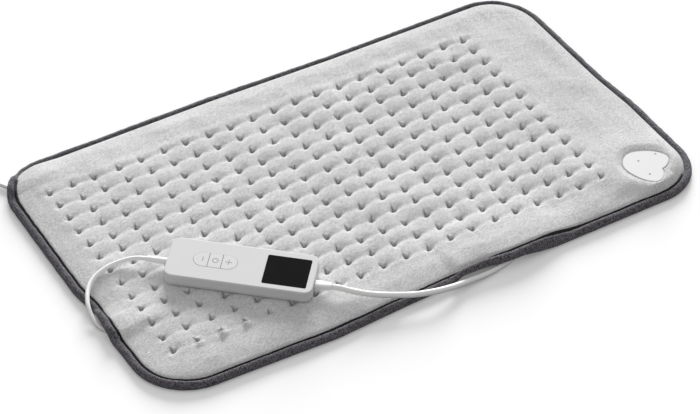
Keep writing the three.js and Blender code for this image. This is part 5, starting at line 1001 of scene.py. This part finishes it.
# %% [markdown]
# The pieces that the CAD already shapes well keep their solids and get their real finishes. Metals
# carry fine lines from their making, the window is polished acrylic with a few faint smears, and the
# felt has a fibrous cloud.

# %% Finishes of the CAD pieces
LINE_WANDER, LINE_DEPTH = 0.1, 0.01
FIBRE_DEPTH = 0.05


def drawn_metal(name, hex_colour, roughness, line_mm):
    finish, tree, shader = new_finish(name, hex_colour, roughness, Metallic=1.0)
    place = add_node(tree, "ShaderNodeTexCoord")
    lines_frame = add_node(tree, "ShaderNodeMapping", inputs={"Scale": (1.0, 1.0, 0.08)},
                           links={"Vector": place.outputs["Object"]})
    lines = add_node(tree, "ShaderNodeTexNoise", inputs={"Scale": 1000 / line_mm, "Detail": 3.0},
                     links={"Vector": lines_frame.outputs["Vector"]})
    spread = add_node(tree, "ShaderNodeMapRange", inputs={
        "To Min": roughness - LINE_WANDER, "To Max": roughness + LINE_WANDER},
        links={"Value": lines.outputs["Fac"]})
    tree.links.new(spread.outputs["Result"], shader.inputs["Roughness"])
    bump = add_node(tree, "ShaderNodeBump", inputs={"Strength": 0.4, "Distance": LINE_DEPTH * MM},
                    links={"Height": lines.outputs["Fac"]})
    tree.links.new(bump.outputs["Normal"], shader.inputs["Normal"])
    return finish


def two_tone(name, dark, light, roughness, patch_mm, **sockets):
    finish, tree, shader = new_finish(name, light, roughness, **sockets)
    place = add_node(tree, "ShaderNodeTexCoord")
    cloud = add_node(tree, "ShaderNodeTexNoise", inputs={"Scale": 1000 / patch_mm, "Detail": 4.0},
                     links={"Vector": place.outputs["Object"]})
    ramp = add_node(tree, "ShaderNodeValToRGB", links={"Fac": cloud.outputs["Fac"]})
    for stop, at, colour in zip(ramp.color_ramp.elements, (0.35, 0.65), (dark, light)):
        stop.position, stop.color = at, linear(colour)
    tree.links.new(ramp.outputs["Color"], shader.inputs["Base Color"])
    bump = add_node(tree, "ShaderNodeBump", inputs={"Strength": 0.6, "Distance": FIBRE_DEPTH * MM},
                    links={"Height": cloud.outputs["Fac"]})
    tree.links.new(bump.outputs["Normal"], shader.inputs["Normal"])
    return finish


window_acrylic = moulded("black_display_window_PMMA", "#1B1B1C", 0.16, 14.0, 0.002,
                         Specular_IOR_Level=0.02)
steel = drawn_metal("zinc_plated_steel", "#B9BBBE", 0.32, 0.3)
rivet_nickel = moulded("dull_nickel_rivet", "#A4A4A6", 0.6, 0.4, 0.01, Specular_IOR_Level=0.1)
brass = drawn_metal("nickel_plated_brass", "#C9B27A", 0.28, 0.25)
felt = two_tone("grey_polyester_felt", "#A29F98", "#BEBBB4", 0.98, 1.2, Sheen_Weight=0.3)
silicone = moulded("red_silicone_wire", "#A6493D", 0.5, 0.6, 0.02)
board_lacquer = two_tone("green_solder_lacquer", "#245A3A", "#2F7049", 0.35, 1.6, Coat_Weight=0.3)
film_yellow = moulded("yellow_polyester_film", "#C8A23A", 0.35, 2.0, 0.01, Coat_Weight=0.3)
by_slot = {
    "plush": plush, "binding_tape": knit, "felt": felt, "wire_insulation": silicone,
    "white_plastic": white_abs, "vinyl": white_vinyl, "dark_window": window_acrylic,
    "dark_plastic": black_abs, "board": board_lacquer, "film": film_yellow, "steel": steel,
    "brass": brass}
slot_of = {s["node"]: s["material_slot"] for s in frame["record"]["subparts"]}
for name, node in frame["nodes"].items():
    finish = by_slot[slot_of[name]]
    if name.startswith("button"):
        finish = key_abs
    if name == "connector_cover":
        finish = plate_abs
    if name.startswith("cover_rivet"):
        finish = rivet_nickel
    for material_slot in node.material_slots:
        material_slot.material = finish
print("finishes set on", len(frame["nodes"]), "CAD pieces")

# %% [markdown]
# The pad lies on a white table. The camera sees the table brighter than it lights the pad, so that
# its open part is plain white and the pad's soft shadow still shows on it.

# %% Floor
TABLE_SEEN = 0.995
TABLE_GLOW = 0.13
TABLE_DROP = 0.0002
bpy.ops.object.select_all(action="DESELECT")
bpy.ops.mesh.primitive_plane_add(size=12, location=(0, 0, -TABLE_DROP))
floor = bpy.context.active_object
floor.name = "white_table"
table_top, table_tree, table_shader = new_finish("white_table_lacquer", "#707070", 0.7,
                                                 Specular_IOR_Level=0.0)
seen = add_node(table_tree, "ShaderNodeLightPath")
seen_white = add_node(table_tree, "ShaderNodeBsdfDiffuse")
seen_white.inputs["Color"].default_value = (TABLE_SEEN, TABLE_SEEN, TABLE_SEEN, 1)
glow = add_node(table_tree, "ShaderNodeEmission")
seen_table = add_node(table_tree, "ShaderNodeMixShader", inputs={0: TABLE_GLOW}, links={
    1: seen_white.outputs["BSDF"], 2: glow.outputs["Emission"]})
table_mix = add_node(table_tree, "ShaderNodeMixShader", links={
    0: seen.outputs["Is Camera Ray"], 1: table_shader.outputs["BSDF"], 2: seen_table.outputs["Shader"]})
table_tree.links.new(table_mix.outputs["Shader"], table_tree.nodes["Material Output"].inputs["Surface"])
floor.data.materials.append(table_top)
print("table finish:", len(table_tree.nodes), "nodes")

# %% [markdown]
# One broad lamp, like a wide window, stands behind the pad and to its right, low enough to model the
# quilt. A white sky fills its shadows. The sky is plain white to the camera and weaker to the pad, so
# that colours come out about as they are written.

# %% Sky and lamp
SKY_LEVEL = 0.56
LAMP_TURN, LAMP_RISE = math.radians(57), math.radians(18)
LAMP_SPREAD = math.radians(26)
LAMP_LEVEL = 4.8
LAMP_AWAY = 3
world = bpy.data.worlds.new("white_studio")
bpy.context.scene.world = world
world.use_nodes = True
sky = world.node_tree.nodes["Background"]
sky.inputs["Color"].default_value = (1, 1, 1, 1)
sky_path = add_node(world.node_tree, "ShaderNodeLightPath")
sky_level = add_node(world.node_tree, "ShaderNodeMapRange", inputs={
    "To Min": SKY_LEVEL, "To Max": 1.0}, links={"Value": sky_path.outputs["Is Camera Ray"]})
world.node_tree.links.new(sky_level.outputs["Result"], sky.inputs["Strength"])

lamp_data = bpy.data.lights.new("key_lamp", "SUN")
lamp_data.angle = LAMP_SPREAD
lamp_data.energy = LAMP_LEVEL
lamp = placed("key_lamp", lamp_data)
towards = Vector((math.cos(LAMP_TURN) * math.cos(LAMP_RISE), math.sin(LAMP_TURN) * math.cos(LAMP_RISE),
                  math.sin(LAMP_RISE)))
lamp.matrix_world = (Matrix.Translation(towards * LAMP_AWAY)
                     @ (-towards).to_track_quat("-Z", "Y").to_matrix().to_4x4())
print("lamp stands", round(math.degrees(LAMP_RISE)), "degrees above the table")

# %% [markdown]
# The plain view transform shows colours as they are written.

# %% Finish
bpy.context.scene.view_settings.view_transform = "Standard"
